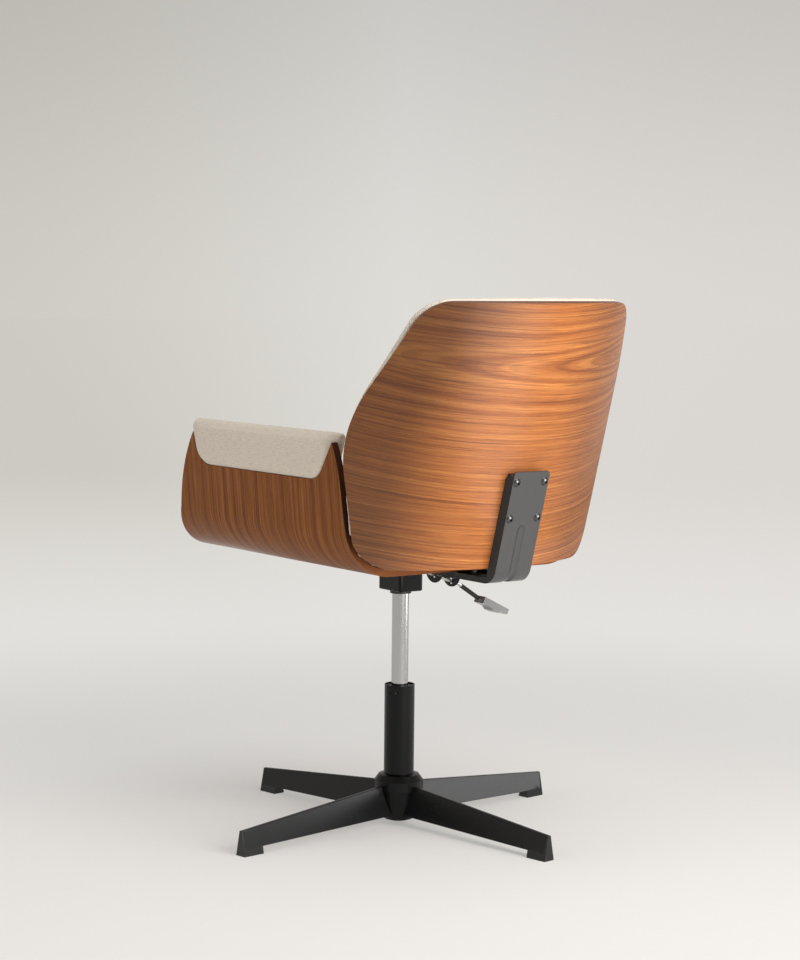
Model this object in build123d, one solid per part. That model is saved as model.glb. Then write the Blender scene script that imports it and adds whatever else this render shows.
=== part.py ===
"""Swivel desk chair: bent-ply shells, upholstered pads, a gas lift and a four-leg base.

Millimetres, +Z up, front of the seat towards -Y. Pieces are made around the column axis
and moved together at the end, so that the origin lies under the middle of the chair.
"""

import os
from math import cos, radians, sin, sqrt, tan

from build123d import *

# Fits
RUNNING = 0.05              # radial clearance of a part that turns or slides in another
LOOSE = 0.3                 # clearance beside a moving part that only has to stay free
TOUCH_GAP = 0.2             # slip fit of a plug or a cap
OVERCUT = 1.0               # how far a cutting shape reaches past what it cuts

# Base: legs and feet
BASE_REACH = 341.0          # column axis to the outer face of a foot
BASE_TURN = 8.3             # degrees that the legs are turned from the seat's axes
LEG_NAMES = ("left", "back", "right", "front")
LEG_SHEET = 2.0
LEG_RIDGE_WIDTH = 6.0       # flat top of a leg
LEG_END_TOP = 40.0
LEG_END_BOTTOM = 10.8
LEG_ROOT_TOP = 68.0
LEG_ROOT_BOTTOM = 18.5
LEG_EDGE_ROUND = 1.5
FOOT_WIDTH = 21.8           # at the floor
FOOT_PAD_LENGTH = 39.0
FOOT_PLATE = 5.0            # end plate, at the bottom of the leg
FOOT_PLATE_TOP = 2.5        # end plate, at the ridge
FOOT_PLUG_LENGTH = 18.0
FOOT_EDGE_ROUND = 1.0

# Base: hub and stand tube
TUBE_RADIUS = 25.0
TUBE_WALL = 2.0
TUBE_TOP = 234.5
TUBE_FLOOR = 4.0
TUBE_LIFT = 20.0            # tube's end above the hub's rim
HUB_FLARE = 15.5            # widest part of the hub beyond the tube
HUB_SHOULDER_FLARE = 8.5
HUB_LIP = 1.0               # top edge of the hub beyond the tube
HUB_FOOT_RADIUS = 24.0
HUB_BOTTOM = 10.0
HUB_BELLY = 34.0            # level where the hub's bowl turns upright
HUB_BELLY_FLARE = 10.0
HUB_WIDEST_LOW = 60.0
HUB_WIDEST = 75.0
HUB_SHOULDER = 84.5
HUB_TOP = 86.5
HUB_WALL = 3.0
PLUG_HEIGHT = 5.0           # of the hub plug's dome below the hub
PLUG_INSET = 1.0            # dome inside the hub's rim
CRIMP_RADIUS = 5.0
CRIMP_DEPTH = 1.2
CRIMP_DROP = 11.0           # crimp row below the tube's top
CRIMP_ANGLES = (20.0, 45.0, 200.0, 225.0)
BUSH_LENGTH = 72.0
BUSH_RECESS = 2.5           # bush top below the tube's rim

# Thrust bearing and rod
ROD_RADIUS = 5.0
ROD_TAIL = 4.0              # rod above its piston
SPIGOT_RADIUS = 4.0
RACE_INNER = 6.0
RACE_OUTER = 16.0
RACE_THICKNESS = 3.0
RACE_GROOVE = 1.0
BALL_RADIUS = 2.5
BALL_COUNT = 10
WASHER_THICKNESS = 2.0
BUFFER_RADIUS = 10.0
BUFFER_HEIGHT = 15.0
CLIP_WASHER_RADIUS = 9.0
CLIP_WASHER_THICKNESS = 1.5
CLIP_RADIUS = 7.0
CLIP_THICKNESS = 1.5
CLIP_GROOVE_DEPTH = 0.8
SPIGOT_TAIL = 1.8           # spigot below its clip

# Seat shell, one bent sheet for the seat and both arms; heights are above its underside
PLY = 11.0
SHELL_UNDERSIDE = 443.0
SHELL_FLAT_HALF = 154.0
SHELL_BEND_RADIUS = 80.0    # outside
ARM_LEAN = 4.5              # degrees outwards
SHELL_REAR = 187.0
SHELL_REAR_LEAN = 14.0      # rear edge's move forwards up to the scoop's level
SHELL_FRONT = -342.0
ARM_FRONT_MID_IN = 28.0     # behind the seat's front edge
ARM_FRONT_MID_RISE = 73.0
ARM_PEAK_FRONT_IN = 83.0
ARM_PEAK_FRONT_RISE = 201.0
ARM_PEAK_REAR_IN = 30.0     # ahead of the seat's rear edge
ARM_PEAK_REAR_RISE = 209.0
ARM_FRONT_BELLY = 0.6       # height of the front edge's fullest point between its ends
ARM_FRONT_FULLNESS = 0.6    # how far forward that point lies
SCOOP_RISE = 148.0          # level floor of the scooped arm top
SCOOP_FRONT_IN = 15.0       # behind the front peak, where the flank would meet the floor
SCOOP_REAR_IN = 46.0        # ahead of the rear peak
SCOOP_ROUND = 42.0

# Back shell, part of a leaning cylinder
BACK_LEAN = 16.2            # degrees
BACK_BEHIND = 89.0          # rear face behind the seat's rear edge, at the seat's underside
BACK_GAP = 4.0              # above the seat
BACK_HEIGHT = 410.0
BACK_BOTTOM_OUT = 68.0      # lower corner beyond the seat's flat
BACK_WIDE_OUT = 30.5        # widest point beyond the seat's bends
BACK_WIDE_RISE = 219.0
BACK_TOP_HALF = 194.0
BACK_FLATNESS = 61.5        # radius of the rear face beyond the widest point
BACK_BOTTOM_ROUND = 62.0
BACK_WIDE_ROUND = 260.0
BACK_TOP_ROUND = 50.0

# Upholstery
BACK_PAD_THICKNESS = 34.0
BACK_PAD_EDGE = 14.0        # thickness left at the rim
BACK_PAD_RIM = 6.0          # pad beyond the ply at the top corners
BACK_PAD_RIM_WIDE = 1.5     # and at the widest point
BACK_PAD_RIM_LOW = 1.0      # and at the lower corners
BACK_PAD_CROWN = 2200.0     # radius of the pad's crown, top to bottom
ARM_PAD_RISE = 224.0
ARM_PAD_LINING = 16.0       # padding on the inside of the arm
ARM_PAD_PROUD = 1.0         # padding over the outside of the ply
ARM_PAD_LOW_RISE = 76.0
ARM_PAD_ROLL = 0.47         # rounding of the pad's top, as a share of its thickness
ARM_PAD_FRONT_IN = 3.0
ARM_PAD_REAR_OUT = 8.0      # behind the rear peak
ARM_PAD_REAR_LOW_IN = 86.0  # lower rear corner ahead of the seat's rear edge
PAD_CLEARANCE = 2.0
CUSHION_OVERHANG = 6.0     # ahead of the seat's front edge
CUSHION_SIDE_GAP = 10.0
CUSHION_HEIGHT = 72.0
CUSHION_CORNER = 46.0
CUSHION_DRAW_IN = 5.0       # sides pulled in between the corners
CUSHION_FRONT_BOW = 12.0
CUSHION_BACK_GAP = 3.0
CUSHION_DOME = 2600.0       # radius of the cushion's crowned top
CUSHION_TOP_ROUND = 14.0
CUSHION_TAPER = 34.0        # height over which the sides open out from the underside
CUSHION_BASE_IN = 16.0      # ends of the flat underside, inside the widest line

# Gas cylinder, hung below the seat shell
CYLINDER_RADIUS = 14.0
CYLINDER_WALL = 1.6
CYLINDER_DROP = 19.0        # cylinder's top below the seat shell
CYLINDER_LENGTH = 254.0
CYLINDER_END = 6.0          # thickness of the closed top
ROD_GUIDE_HEIGHT = 12.0
PISTON_HEIGHT = 12.0
PISTON_GAP = 2.0            # piston above the rod guide at full height
VALVE_PIN_RADIUS = 3.0
VALVE_PIN_RISE = 5.2
VALVE_PIN_LENGTH = 18.0

# Under-seat mechanism
PLATE_HALF_X = 105.0
PLATE_HALF_Y = 100.0
PLATE_SHEET = 3.0
PLATE_CORNER = 16.0
PLATE_FLANGE = 8.0
EAR_RADIUS = 25.0
EAR_DROP = 9.5              # plate's ear below the lever's axis
GUIDE_OUT = 68.5            # inner lever guide from the column axis
GUIDE_RADIUS = 24.0
GUIDE_DROP = 13.3
GUIDE_FOOT = 16.0
SOCKET_X = 47.0
SOCKET_Y = 63.0
SOCKET_HEIGHT = 49.0
SOCKET_WALL = 3.0
SOCKET_CORNER = 5.0
SOCKET_EDGE_ROUND = 2.5
TAPER_WALL = 3.0
TAPER_HEIGHT = 26.0         # inside the socket
COLLAR_HEIGHT = 5.0
COLLAR_LIP = 0.6            # collar wider than the taper bush

# Lever
PIVOT_OUT = 12.0            # from the column axis
PIVOT_ROOM = 1.7            # lever's boss below the seat plate
PIVOT_RADIUS = 3.0
PIVOT_HEAD_RADIUS = 5.0
PIVOT_HEAD = 2.0
LEVER_TRAVEL = 8.0          # degrees
LEVER_BOSS_RADIUS = 6.3
LEVER_BOSS_WIDTH = 10.0
LEVER_TIP_THICKNESS = 5.0
LEVER_TIP_REACH = 4.0       # tip past the valve pin's axis
LEVER_ROD_RADIUS = 3.0
LEVER_SLEEVE_WALL = 0.8
LEVER_INNER_SLOPE = 20.1    # degrees below level
LEVER_OUTER_SLOPE = 33.0
LEVER_BEND_OUT = 13.0       # beyond the seat plate's edge
LEVER_BEND_ROUND = 12.0
LEVER_SLEEVE_OUT = 6.0      # beyond the bend
SLOT_PLAY = 1.0             # around the lever in its slots
HANDLE_OUT = 46.0           # beyond the bend
HANDLE_LENGTH = 59.0
HANDLE_SLOPE = 25.0
HANDLE_WIDTH = 26.0
HANDLE_THICKNESS = 12.0
HANDLE_TAPER = 1.5          # thickness lost on each side at the tip
HANDLE_ROUND = 5.0
HANDLE_ROD_DEPTH = 24.0
GRIP_NOTCH = 3.5
GRIP_OUT = 30.0             # finger rib from the handle's inner end

# Back bracket, a bent steel channel
BRACKET_WIDTH = 69.0
BRACKET_SHEET = 3.5
BRACKET_STANDOFF = 18.0     # outer face behind the back shell
BRACKET_RISE = 168.0        # above the seat shell's underside
BRACKET_DROP = 9.0          # below it
BRACKET_ELBOW = 30.0
BRACKET_PLATE_GAP = 8.0     # behind the seat plate
BRACKET_CORNER = 6.0
FLANGE_DROP = 7.0           # flange top below the bracket's top
FLANGE_ROUND = 13.0
BEAD_RADIUS = 11.0
BEAD_DEPTH = 3.0
BEAD_RISE = 77.0

# Screws, nuts and spacers
SCREW_RADIUS = 4.0
SCREW_HEAD_RADIUS = 6.8
SCREW_HEAD = 4.4
SOCKET_KEY = 5.0            # across the flats of the screw's hexagon socket
SOCKET_KEY_DEPTH = 2.6
NUT_BARREL_RADIUS = 5.5
NUT_COVER = 1.0             # ply left over the barrel's end
NUT_FLANGE_RADIUS = 9.5
NUT_FLANGE = 1.5
SPACER_RADIUS = 7.0
BACK_SPACER_HEIGHT = 16.0
BACK_SCREW_EDGE = 7.5       # from the bracket's side
BACK_SCREW_DROP = 16.0      # below the bracket's top
BACK_SCREW_PITCH = 57.0     # upright
SEAT_SCREW_EDGE_X = 13.0    # from the plate's sides
SEAT_SCREW_EDGE_Y = 28.0
BRACKET_SCREW_EDGE = 14.5   # from the bracket's side
BRACKET_SCREW_END = 27.0    # from the bracket's front end
BRACKET_SCREW_PITCH = 36.0

# Sizes and places that follow from the ones above
SIDE_SLOPE = (FOOT_WIDTH - LEG_RIDGE_WIDTH) / 2 / LEG_END_TOP
HUB_RADIUS = TUBE_RADIUS + HUB_FLARE
HUB_BELLY_RADIUS = TUBE_RADIUS + HUB_BELLY_FLARE
HUB_SHOULDER_RADIUS = TUBE_RADIUS + HUB_SHOULDER_FLARE
TUBE_INNER = TUBE_RADIUS - TUBE_WALL
TUBE_BOTTOM = HUB_BOTTOM + TUBE_LIFT
RACE_SEAT = TUBE_BOTTOM + TUBE_FLOOR
BALL_Z = RACE_SEAT + RACE_THICKNESS - RACE_GROOVE + BALL_RADIUS
UPPER_RACE = BALL_Z + BALL_RADIUS - RACE_GROOVE
SHOULDER_Z = UPPER_RACE + RACE_THICKNESS + WASHER_THICKNESS
PITCH_RADIUS = (RACE_INNER + RACE_OUTER) / 2
CLIP_Z = TUBE_BOTTOM - CLIP_WASHER_THICKNESS - CLIP_THICKNESS
CLIP_GROOVE_RADIUS = SPIGOT_RADIUS - CLIP_GROOVE_DEPTH

SHELL_TOP = SHELL_UNDERSIDE + PLY
SHELL_OUT = SHELL_FLAT_HALF + SHELL_BEND_RADIUS
ARM_FRONT_MID = SHELL_FRONT + ARM_FRONT_MID_IN
ARM_FRONT_MID_Z = SHELL_UNDERSIDE + ARM_FRONT_MID_RISE
ARM_PEAK_FRONT = SHELL_FRONT + ARM_PEAK_FRONT_IN
ARM_PEAK_FRONT_Z = SHELL_UNDERSIDE + ARM_PEAK_FRONT_RISE
ARM_PEAK_REAR = SHELL_REAR - ARM_PEAK_REAR_IN
ARM_PEAK_REAR_Z = SHELL_UNDERSIDE + ARM_PEAK_REAR_RISE
SCOOP_BOTTOM = SHELL_UNDERSIDE + SCOOP_RISE
SCOOP_FRONT = ARM_PEAK_FRONT + SCOOP_FRONT_IN
SCOOP_REAR = ARM_PEAK_REAR - SCOOP_REAR_IN
ARM_PAD_TOP = SHELL_UNDERSIDE + ARM_PAD_RISE
ARM_PAD_BOTTOM = SHELL_UNDERSIDE + ARM_PAD_LOW_RISE
ARM_PAD_REAR = ARM_PEAK_REAR + ARM_PAD_REAR_OUT

BACK_REAR_Y = SHELL_REAR + BACK_BEHIND
BACK_BOTTOM = SHELL_TOP + BACK_GAP
BACK_TOP = BACK_BOTTOM + BACK_HEIGHT
BACK_BOTTOM_HALF = SHELL_FLAT_HALF + BACK_BOTTOM_OUT
BACK_WIDE_HALF = SHELL_OUT + BACK_WIDE_OUT
BACK_WIDE_Z = BACK_BOTTOM + BACK_WIDE_RISE
BACK_RADIUS = BACK_WIDE_HALF + BACK_FLATNESS
BACK_INNER = BACK_RADIUS - PLY
LEAN = radians(BACK_LEAN)
BACK_PLANE = Plane(
    origin=(0, BACK_REAR_Y, SHELL_UNDERSIDE),
    x_dir=(1, 0, 0),
    z_dir=(0, sin(LEAN), cos(LEAN)),
)
WHOLE = 2 * BACK_TOP        # reaches past the whole chair

CUSHION_FRONT = SHELL_FRONT - CUSHION_OVERHANG
CUSHION_HALF = SHELL_OUT - PLY - ARM_PAD_LINING - CUSHION_SIDE_GAP

BORE_RADIUS = CYLINDER_RADIUS - CYLINDER_WALL
CYLINDER_TOP = SHELL_UNDERSIDE - CYLINDER_DROP
CYLINDER_BOTTOM = CYLINDER_TOP - CYLINDER_LENGTH
PISTON_Z = CYLINDER_BOTTOM + ROD_GUIDE_HEIGHT + PISTON_GAP
ROD_TOP = PISTON_Z + PISTON_HEIGHT + ROD_TAIL
PLATE_UNDERSIDE = SHELL_UNDERSIDE - PLATE_SHEET
SOCKET_BOTTOM = PLATE_UNDERSIDE - SOCKET_HEIGHT
TAPER_TOP = SOCKET_BOTTOM + TAPER_HEIGHT
PIVOT_X = -PIVOT_OUT
PIVOT_Z = PLATE_UNDERSIDE - PIVOT_ROOM - LEVER_BOSS_RADIUS
EAR_X = PLATE_SHEET / 2 - PLATE_HALF_X
LEVER_BEND_X = -PLATE_HALF_X - LEVER_BEND_OUT
LEVER_SLEEVE_X = LEVER_BEND_X - LEVER_SLEEVE_OUT
HANDLE_X = LEVER_BEND_X - HANDLE_OUT
LEVER_SLEEVE_RADIUS = LEVER_ROD_RADIUS + LEVER_SLEEVE_WALL

BRACKET_TOP = SHELL_UNDERSIDE + BRACKET_RISE
BRACKET_BOTTOM = SHELL_UNDERSIDE - BRACKET_DROP
BRACKET_FRONT = PLATE_HALF_Y + BRACKET_PLATE_GAP
BRACKET_INNER = BRACKET_WIDTH / 2 - BRACKET_SHEET
BEAD_TOP = SHELL_UNDERSIDE + BEAD_RISE
BACK_SCREW_X = BRACKET_WIDTH / 2 - BACK_SCREW_EDGE
BACK_SCREW_TOP = BRACKET_TOP - BACK_SCREW_DROP


def ring(outer, inner, low, high):
    """A round tube about the column axis."""
    tube = Cylinder(outer, high - low) - Cylinder(inner, high - low)
    return Pos(0, 0, (low + high) / 2) * tube


def rod(radius, low, high):
    """A solid round bar about the column axis."""
    return Pos(0, 0, (low + high) / 2) * Cylinder(radius, high - low)


def polygon_face(points):
    """A flat face through points that lie in one plane."""
    return Face(Wire.make_polygon([Vector(*p) for p in points], close=True))


def hull_between(first, last):
    """A straight-sided solid from one flat outline to another."""
    return loft([polygon_face(first), polygon_face(last)], ruled=True)


def turned(profile):
    """A round piece from its profile of radius and height."""
    face = make_face(Plane.XZ * Polyline(*profile, close=True))
    return revolve(face, Axis.Z, 360)


# Base

def leg_line(root, end, reach):
    """Height on a line of the leg's side view, at a distance from the column axis."""
    span = BASE_REACH - HUB_RADIUS
    return end + (root - end) * (BASE_REACH - reach) / span


def leg_top(reach):
    return leg_line(LEG_ROOT_TOP, LEG_END_TOP, reach)


def leg_bottom(reach):
    return leg_line(LEG_ROOT_BOTTOM, LEG_END_BOTTOM, reach)


def leg_section(reach_low, reach_high, inset, drop):
    """Four corners of a leg's cross-section; inset and drop make the hollow inside."""
    top = leg_top(reach_high) - inset
    bottom = leg_bottom(reach_low) - drop
    half_top = LEG_RIDGE_WIDTH / 2 - inset * (1 - SIDE_SLOPE)
    half_bottom = half_top + SIDE_SLOPE * (top - bottom)
    return (
        (reach_low, -half_bottom, bottom),
        (reach_low, half_bottom, bottom),
        (reach_high, half_top, top),
        (reach_high, -half_top, top),
    )


def hub_outline():
    return (
        (0, HUB_BOTTOM),
        (HUB_FOOT_RADIUS, HUB_BOTTOM),
        (HUB_BELLY_RADIUS, HUB_BELLY),
        (HUB_RADIUS, HUB_WIDEST_LOW),
        (HUB_RADIUS, HUB_WIDEST),
        (HUB_SHOULDER_RADIUS, HUB_SHOULDER),
        (TUBE_RADIUS + HUB_LIP, HUB_TOP),
        (0, HUB_TOP),
    )


def leg_blank():
    """One leg along +X: a tapered channel, open below, cut to the hub."""
    inside = HUB_FOOT_RADIUS / 2
    low, high = BASE_REACH - FOOT_PLATE, BASE_REACH - FOOT_PLATE_TOP
    outer = hull_between(leg_section(inside, inside, 0, 0), leg_section(low, high, 0, 0))
    ridge = outer.edges().filter_by(lambda e: e.center().Z > LEG_END_TOP and e.length > high / 2)
    outer = fillet(ridge, min(LEG_EDGE_ROUND, LEG_RIDGE_WIDTH / 3))
    hollow = hull_between(
        leg_section(inside, inside, LEG_SHEET, OVERCUT), leg_section(low, high, LEG_SHEET, OVERCUT)
    )
    return outer - hollow - turned(hub_outline())


def foot_blank():
    """One foot along +X: an end cap with a pad under the leg and a plug in its channel."""
    inner = BASE_REACH - FOOT_PAD_LENGTH
    low, high = BASE_REACH - FOOT_PLATE, BASE_REACH - FOOT_PLATE_TOP
    side = make_face(Plane.XZ * Polyline(
        (inner, 0),
        (BASE_REACH, 0),
        (BASE_REACH, LEG_END_TOP),
        (high, leg_top(high)),
        (low, leg_bottom(low)),
        (inner, leg_bottom(inner)),
        close=True,
    ))
    cap = extrude(side, FOOT_WIDTH, both=True)
    half, ridge = FOOT_WIDTH / 2, LEG_RIDGE_WIDTH / 2
    end = make_face(Plane.YZ * Polyline(
        (-half, 0), (half, 0), (ridge, LEG_END_TOP), (-ridge, LEG_END_TOP), close=True
    ))
    cap = cap & extrude(end, BASE_REACH + OVERCUT)
    face = cap.faces().sort_by(Axis.X)[-1]
    rim = face.edges().filter_by(lambda e: e.center().Z > FOOT_EDGE_ROUND)
    cap = fillet(rim, FOOT_EDGE_ROUND)
    back, gap = low - FOOT_PLUG_LENGTH, LEG_SHEET + TOUCH_GAP
    plug = hull_between(leg_section(back, back, gap, 0), leg_section(low, high, gap, 0))
    return cap + plug


def hub():
    wall = HUB_WALL
    inside = turned((
        (0, HUB_BOTTOM - OVERCUT),
        (HUB_FOOT_RADIUS - wall, HUB_BOTTOM - OVERCUT),
        (HUB_FOOT_RADIUS - wall, HUB_BOTTOM),
        (HUB_BELLY_RADIUS - wall, HUB_BELLY),
        (HUB_RADIUS - wall, HUB_WIDEST_LOW),
        (HUB_RADIUS - wall, HUB_WIDEST),
        (HUB_SHOULDER_RADIUS - wall, HUB_SHOULDER - wall),
        (0, HUB_SHOULDER - wall),
    ))
    return turned(hub_outline()) - inside - rod(TUBE_RADIUS, TUBE_BOTTOM, HUB_TOP + OVERCUT)


def hub_plug():
    """Domed plastic plug that closes the hub from below."""
    rim, height = HUB_FOOT_RADIUS - PLUG_INSET, PLUG_HEIGHT
    sphere = (rim**2 + height**2) / (2 * height)
    dome = Pos(0, 0, HUB_BOTTOM - height + sphere) * Sphere(sphere)
    dome = dome & rod(rim, HUB_BOTTOM - height, HUB_BOTTOM)
    wall = HUB_FOOT_RADIUS - HUB_WALL
    skirt = ring(wall, wall - HUB_WALL, HUB_BOTTOM, HUB_BOTTOM + HUB_WALL)
    return dome + skirt


def stand_tube():
    tube = ring(TUBE_RADIUS, TUBE_INNER, TUBE_BOTTOM, TUBE_TOP)
    tube += ring(TUBE_INNER, SPIGOT_RADIUS + RUNNING, TUBE_BOTTOM, RACE_SEAT)
    top_rim = tube.edges().filter_by(GeomType.CIRCLE).group_by(Axis.Z)[-1]
    tube = fillet(top_rim, TUBE_WALL / 4)
    out = TUBE_RADIUS + CRIMP_RADIUS - CRIMP_DEPTH
    for angle in CRIMP_ANGLES:
        tube -= Rot(0, 0, angle) * Pos(out, 0, TUBE_TOP - CRIMP_DROP) * Sphere(CRIMP_RADIUS)
    return tube


def guide_bush():
    top = TUBE_TOP - BUSH_RECESS
    return ring(TUBE_INNER, CYLINDER_RADIUS + RUNNING, top - BUSH_LENGTH, top)


# Thrust bearing and rod

def race(bottom):
    """A bearing race with the groove that the balls run in."""
    groove = Pos(0, 0, BALL_Z) * Torus(PITCH_RADIUS, BALL_RADIUS + RUNNING)
    return ring(RACE_OUTER, RACE_INNER, bottom, bottom + RACE_THICKNESS) - groove


def bearing_balls():
    balls = []
    for index in range(BALL_COUNT):
        turn = Rot(0, 0, 360 * index / BALL_COUNT)
        ball = turn * Pos(PITCH_RADIUS, 0, BALL_Z) * Sphere(BALL_RADIUS)
        balls.append(ball.solid())
    return Compound(balls)


def piston_rod():
    tail = CLIP_Z - SPIGOT_TAIL
    bar = rod(SPIGOT_RADIUS, tail, SHOULDER_Z) + rod(ROD_RADIUS, SHOULDER_Z, ROD_TOP)
    return bar - ring(SPIGOT_RADIUS + OVERCUT, CLIP_GROOVE_RADIUS, CLIP_Z, CLIP_Z + CLIP_THICKNESS)


# Gas cylinder

def gas_cylinder():
    shell = rod(CYLINDER_RADIUS, CYLINDER_BOTTOM, CYLINDER_TOP)
    top_rim = shell.edges().group_by(Axis.Z)[-1]
    shell = chamfer(top_rim, CYLINDER_WALL)
    shell -= rod(BORE_RADIUS, CYLINDER_BOTTOM, CYLINDER_TOP - CYLINDER_END)
    return shell - rod(VALVE_PIN_RADIUS + RUNNING, CYLINDER_BOTTOM, CYLINDER_TOP)


def valve_pin():
    top = CYLINDER_TOP + VALVE_PIN_RISE
    pin = rod(VALVE_PIN_RADIUS, top - VALVE_PIN_LENGTH, top)
    return fillet(pin.edges().group_by(Axis.Z)[-1], VALVE_PIN_RADIUS / 4)


# Seat shell

def bend_section(inset):
    """Half of the shell's outer or inner line, from the middle to above the arm."""
    radius = SHELL_BEND_RADIUS - inset
    centre = (SHELL_FLAT_HALF, SHELL_UNDERSIDE + SHELL_BEND_RADIUS)
    low = SHELL_UNDERSIDE + inset
    bend = CenterArc(centre, radius, -90, 90 - ARM_LEAN)
    rise = ARM_PAD_TOP + PLY - (bend @ 1).Y
    top = ((bend @ 1).X + rise * tan(radians(ARM_LEAN)), ARM_PAD_TOP + PLY)
    return Line((0, low), bend @ 0) + bend + Line(bend @ 1, top)


def bend_face(near, far):
    """The band between two insets from the shell's outer line, on the +X side."""
    outer, inner = bend_section(near), bend_section(far)
    joins = Line(outer @ 0, inner @ 0) + Line(outer @ 1, inner @ 1)
    return make_face(Plane.XZ * (outer + inner + joins))


def along_y(face, low, high):
    """A face of the XZ plane stretched between two places along Y."""
    return Pos(0, high, 0) * extrude(face, high - low)


def along_x(face, half):
    """A face of the YZ plane stretched to both sides of the middle."""
    return extrude(face, half, both=True)


def scoop_points():
    """The scooped arm top, from the rear peak to the front peak."""
    return (
        (ARM_PEAK_REAR, ARM_PEAK_REAR_Z),
        (SCOOP_REAR, SCOOP_BOTTOM),
        (SCOOP_FRONT, SCOOP_BOTTOM),
        (ARM_PEAK_FRONT, ARM_PEAK_FRONT_Z),
    )


def scoop_line():
    return FilletPolyline(*scoop_points(), radius=SCOOP_ROUND)


def arm_front_line():
    """Front edge of an arm, from its peak down to the seat's front."""
    upper = ThreePointArc(
        (ARM_PEAK_FRONT, ARM_PEAK_FRONT_Z),
        (
            ARM_PEAK_FRONT + ARM_FRONT_FULLNESS * (ARM_FRONT_MID - ARM_PEAK_FRONT),
            ARM_FRONT_MID_Z + ARM_FRONT_BELLY * (ARM_PEAK_FRONT_Z - ARM_FRONT_MID_Z),
        ),
        (ARM_FRONT_MID, ARM_FRONT_MID_Z),
    )
    return upper + Line(upper @ 1, (SHELL_FRONT, SHELL_UNDERSIDE))


def shell_side():
    """Side view of the seat shell."""
    rear = Line((SHELL_FRONT, SHELL_UNDERSIDE), (SHELL_REAR, SHELL_UNDERSIDE))
    rise = Line(rear @ 1, (SHELL_REAR - SHELL_REAR_LEAN, SCOOP_BOTTOM))
    shoulder = TangentArc(rise @ 1, (ARM_PEAK_REAR, ARM_PEAK_REAR_Z), tangent=rise % 1)
    return make_face(Plane.YZ * (rear + rise + shoulder + scoop_line() + arm_front_line()))


def seat_shell():
    half = along_y(bend_face(0, PLY), SHELL_FRONT, SHELL_REAR)
    blank = half + mirror(half, Plane.YZ)
    return blank & along_x(shell_side(), WHOLE)


# Back shell and its pad

def back_outline(low=0.0, wide=0.0, high=0.0):
    """Front view of the back, grown at its lower corners, widest points and top corners."""
    half = FilletPolyline(
        (0, BACK_BOTTOM - low),
        (BACK_BOTTOM_HALF + low, BACK_BOTTOM - low),
        (BACK_WIDE_HALF + wide, BACK_WIDE_Z),
        (BACK_TOP_HALF + high, BACK_TOP),
        (0, BACK_TOP),
        radius=[BACK_BOTTOM_ROUND, BACK_WIDE_ROUND, BACK_TOP_ROUND],
    )
    return make_face(half + mirror(half, Plane.YZ))


def back_prism(outline):
    """An outline of the back, stretched through the whole depth of the back."""
    deep = BACK_REAR_Y + (BACK_TOP - SHELL_UNDERSIDE) * tan(LEAN) + PLY
    return along_y(Plane.XZ * outline, 0, deep)


def back_cylinder(radius):
    """A full cylinder along the lean of the back, with its axis where the ply's is."""
    return BACK_PLANE * Pos(0, -BACK_RADIUS, 0) * Cylinder(radius, 2 * WHOLE)


def back_blank(outline, depth):
    """An outline on the back's rear face, thickened inwards with edges square to the face."""
    block = back_cylinder(BACK_RADIUS) & back_prism(outline)
    rear = block.faces().filter_by(GeomType.CYLINDER).sort_by(Axis.Y)[-1]
    return thicken(rear, -depth)


def back_pad():
    """Crowned pad in the hollow of the back, thickest in the middle."""
    wide = BACK_WIDE_HALF
    front = PLY + BACK_PAD_THICKNESS
    slant = sqrt(BACK_INNER**2 - wide**2)
    fall = BACK_RADIUS - slant + BACK_PAD_EDGE * BACK_INNER / slant - front
    barrel = (wide**2 + fall**2) / (2 * fall)
    middle = (BACK_BOTTOM + BACK_TOP) / 2 - SHELL_UNDERSIDE
    half = BACK_TOP - BACK_BOTTOM
    flare = half**2 / (2 * BACK_PAD_CROWN)
    bow = ThreePointArc((barrel + flare, middle - half), (barrel, middle), (barrel + flare, middle + half))
    ends = Polyline(bow @ 1, (0, middle + half), (0, middle - half), bow @ 0)
    hollow = revolve(make_face(Plane.XZ * (bow + ends)), Axis.Z, 360)
    outline = back_outline(BACK_PAD_RIM_LOW, BACK_PAD_RIM_WIDE, BACK_PAD_RIM)
    pad = back_blank(outline, front) & back_cylinder(BACK_INNER)
    pad -= BACK_PLANE * Pos(0, -front - barrel, 0) * hollow
    floor = Pos(0, 0, SHELL_TOP + PAD_CLEARANCE) * Box(
        WHOLE, WHOLE, WHOLE, align=(Align.CENTER, Align.CENTER, Align.MIN)
    )
    return pad & floor


def back_zone():
    """Space that the back and its pad keep to themselves."""
    wall = back_cylinder(BACK_RADIUS + PAD_CLEARANCE)
    wall -= back_cylinder(BACK_INNER - BACK_PAD_THICKNESS - PAD_CLEARANCE)
    return wall & back_prism(offset(back_outline(), BACK_PAD_RIM + PAD_CLEARANCE))


# Arm pads and seat cushion

def arm_bar(near, far, low):
    """Section of the arm padding between two insets, round on top, on the +X side."""
    lean = radians(ARM_LEAN)
    bend_x = SHELL_FLAT_HALF + SHELL_BEND_RADIUS * cos(lean)
    bend_z = SHELL_UNDERSIDE + SHELL_BEND_RADIUS * (1 - sin(lean))
    corners = []
    for inset, level in ((near, low), (near, ARM_PAD_TOP), (far, ARM_PAD_TOP), (far, low)):
        out = bend_x + (level - bend_z) * tan(lean) - inset / cos(lean)
        corners.append((out, level))
    shape = make_face(Polyline(*corners, close=True))
    return Plane.XZ * fillet(shape.vertices().group_by(Axis.Y)[-1], (far - near) * ARM_PAD_ROLL)


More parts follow.
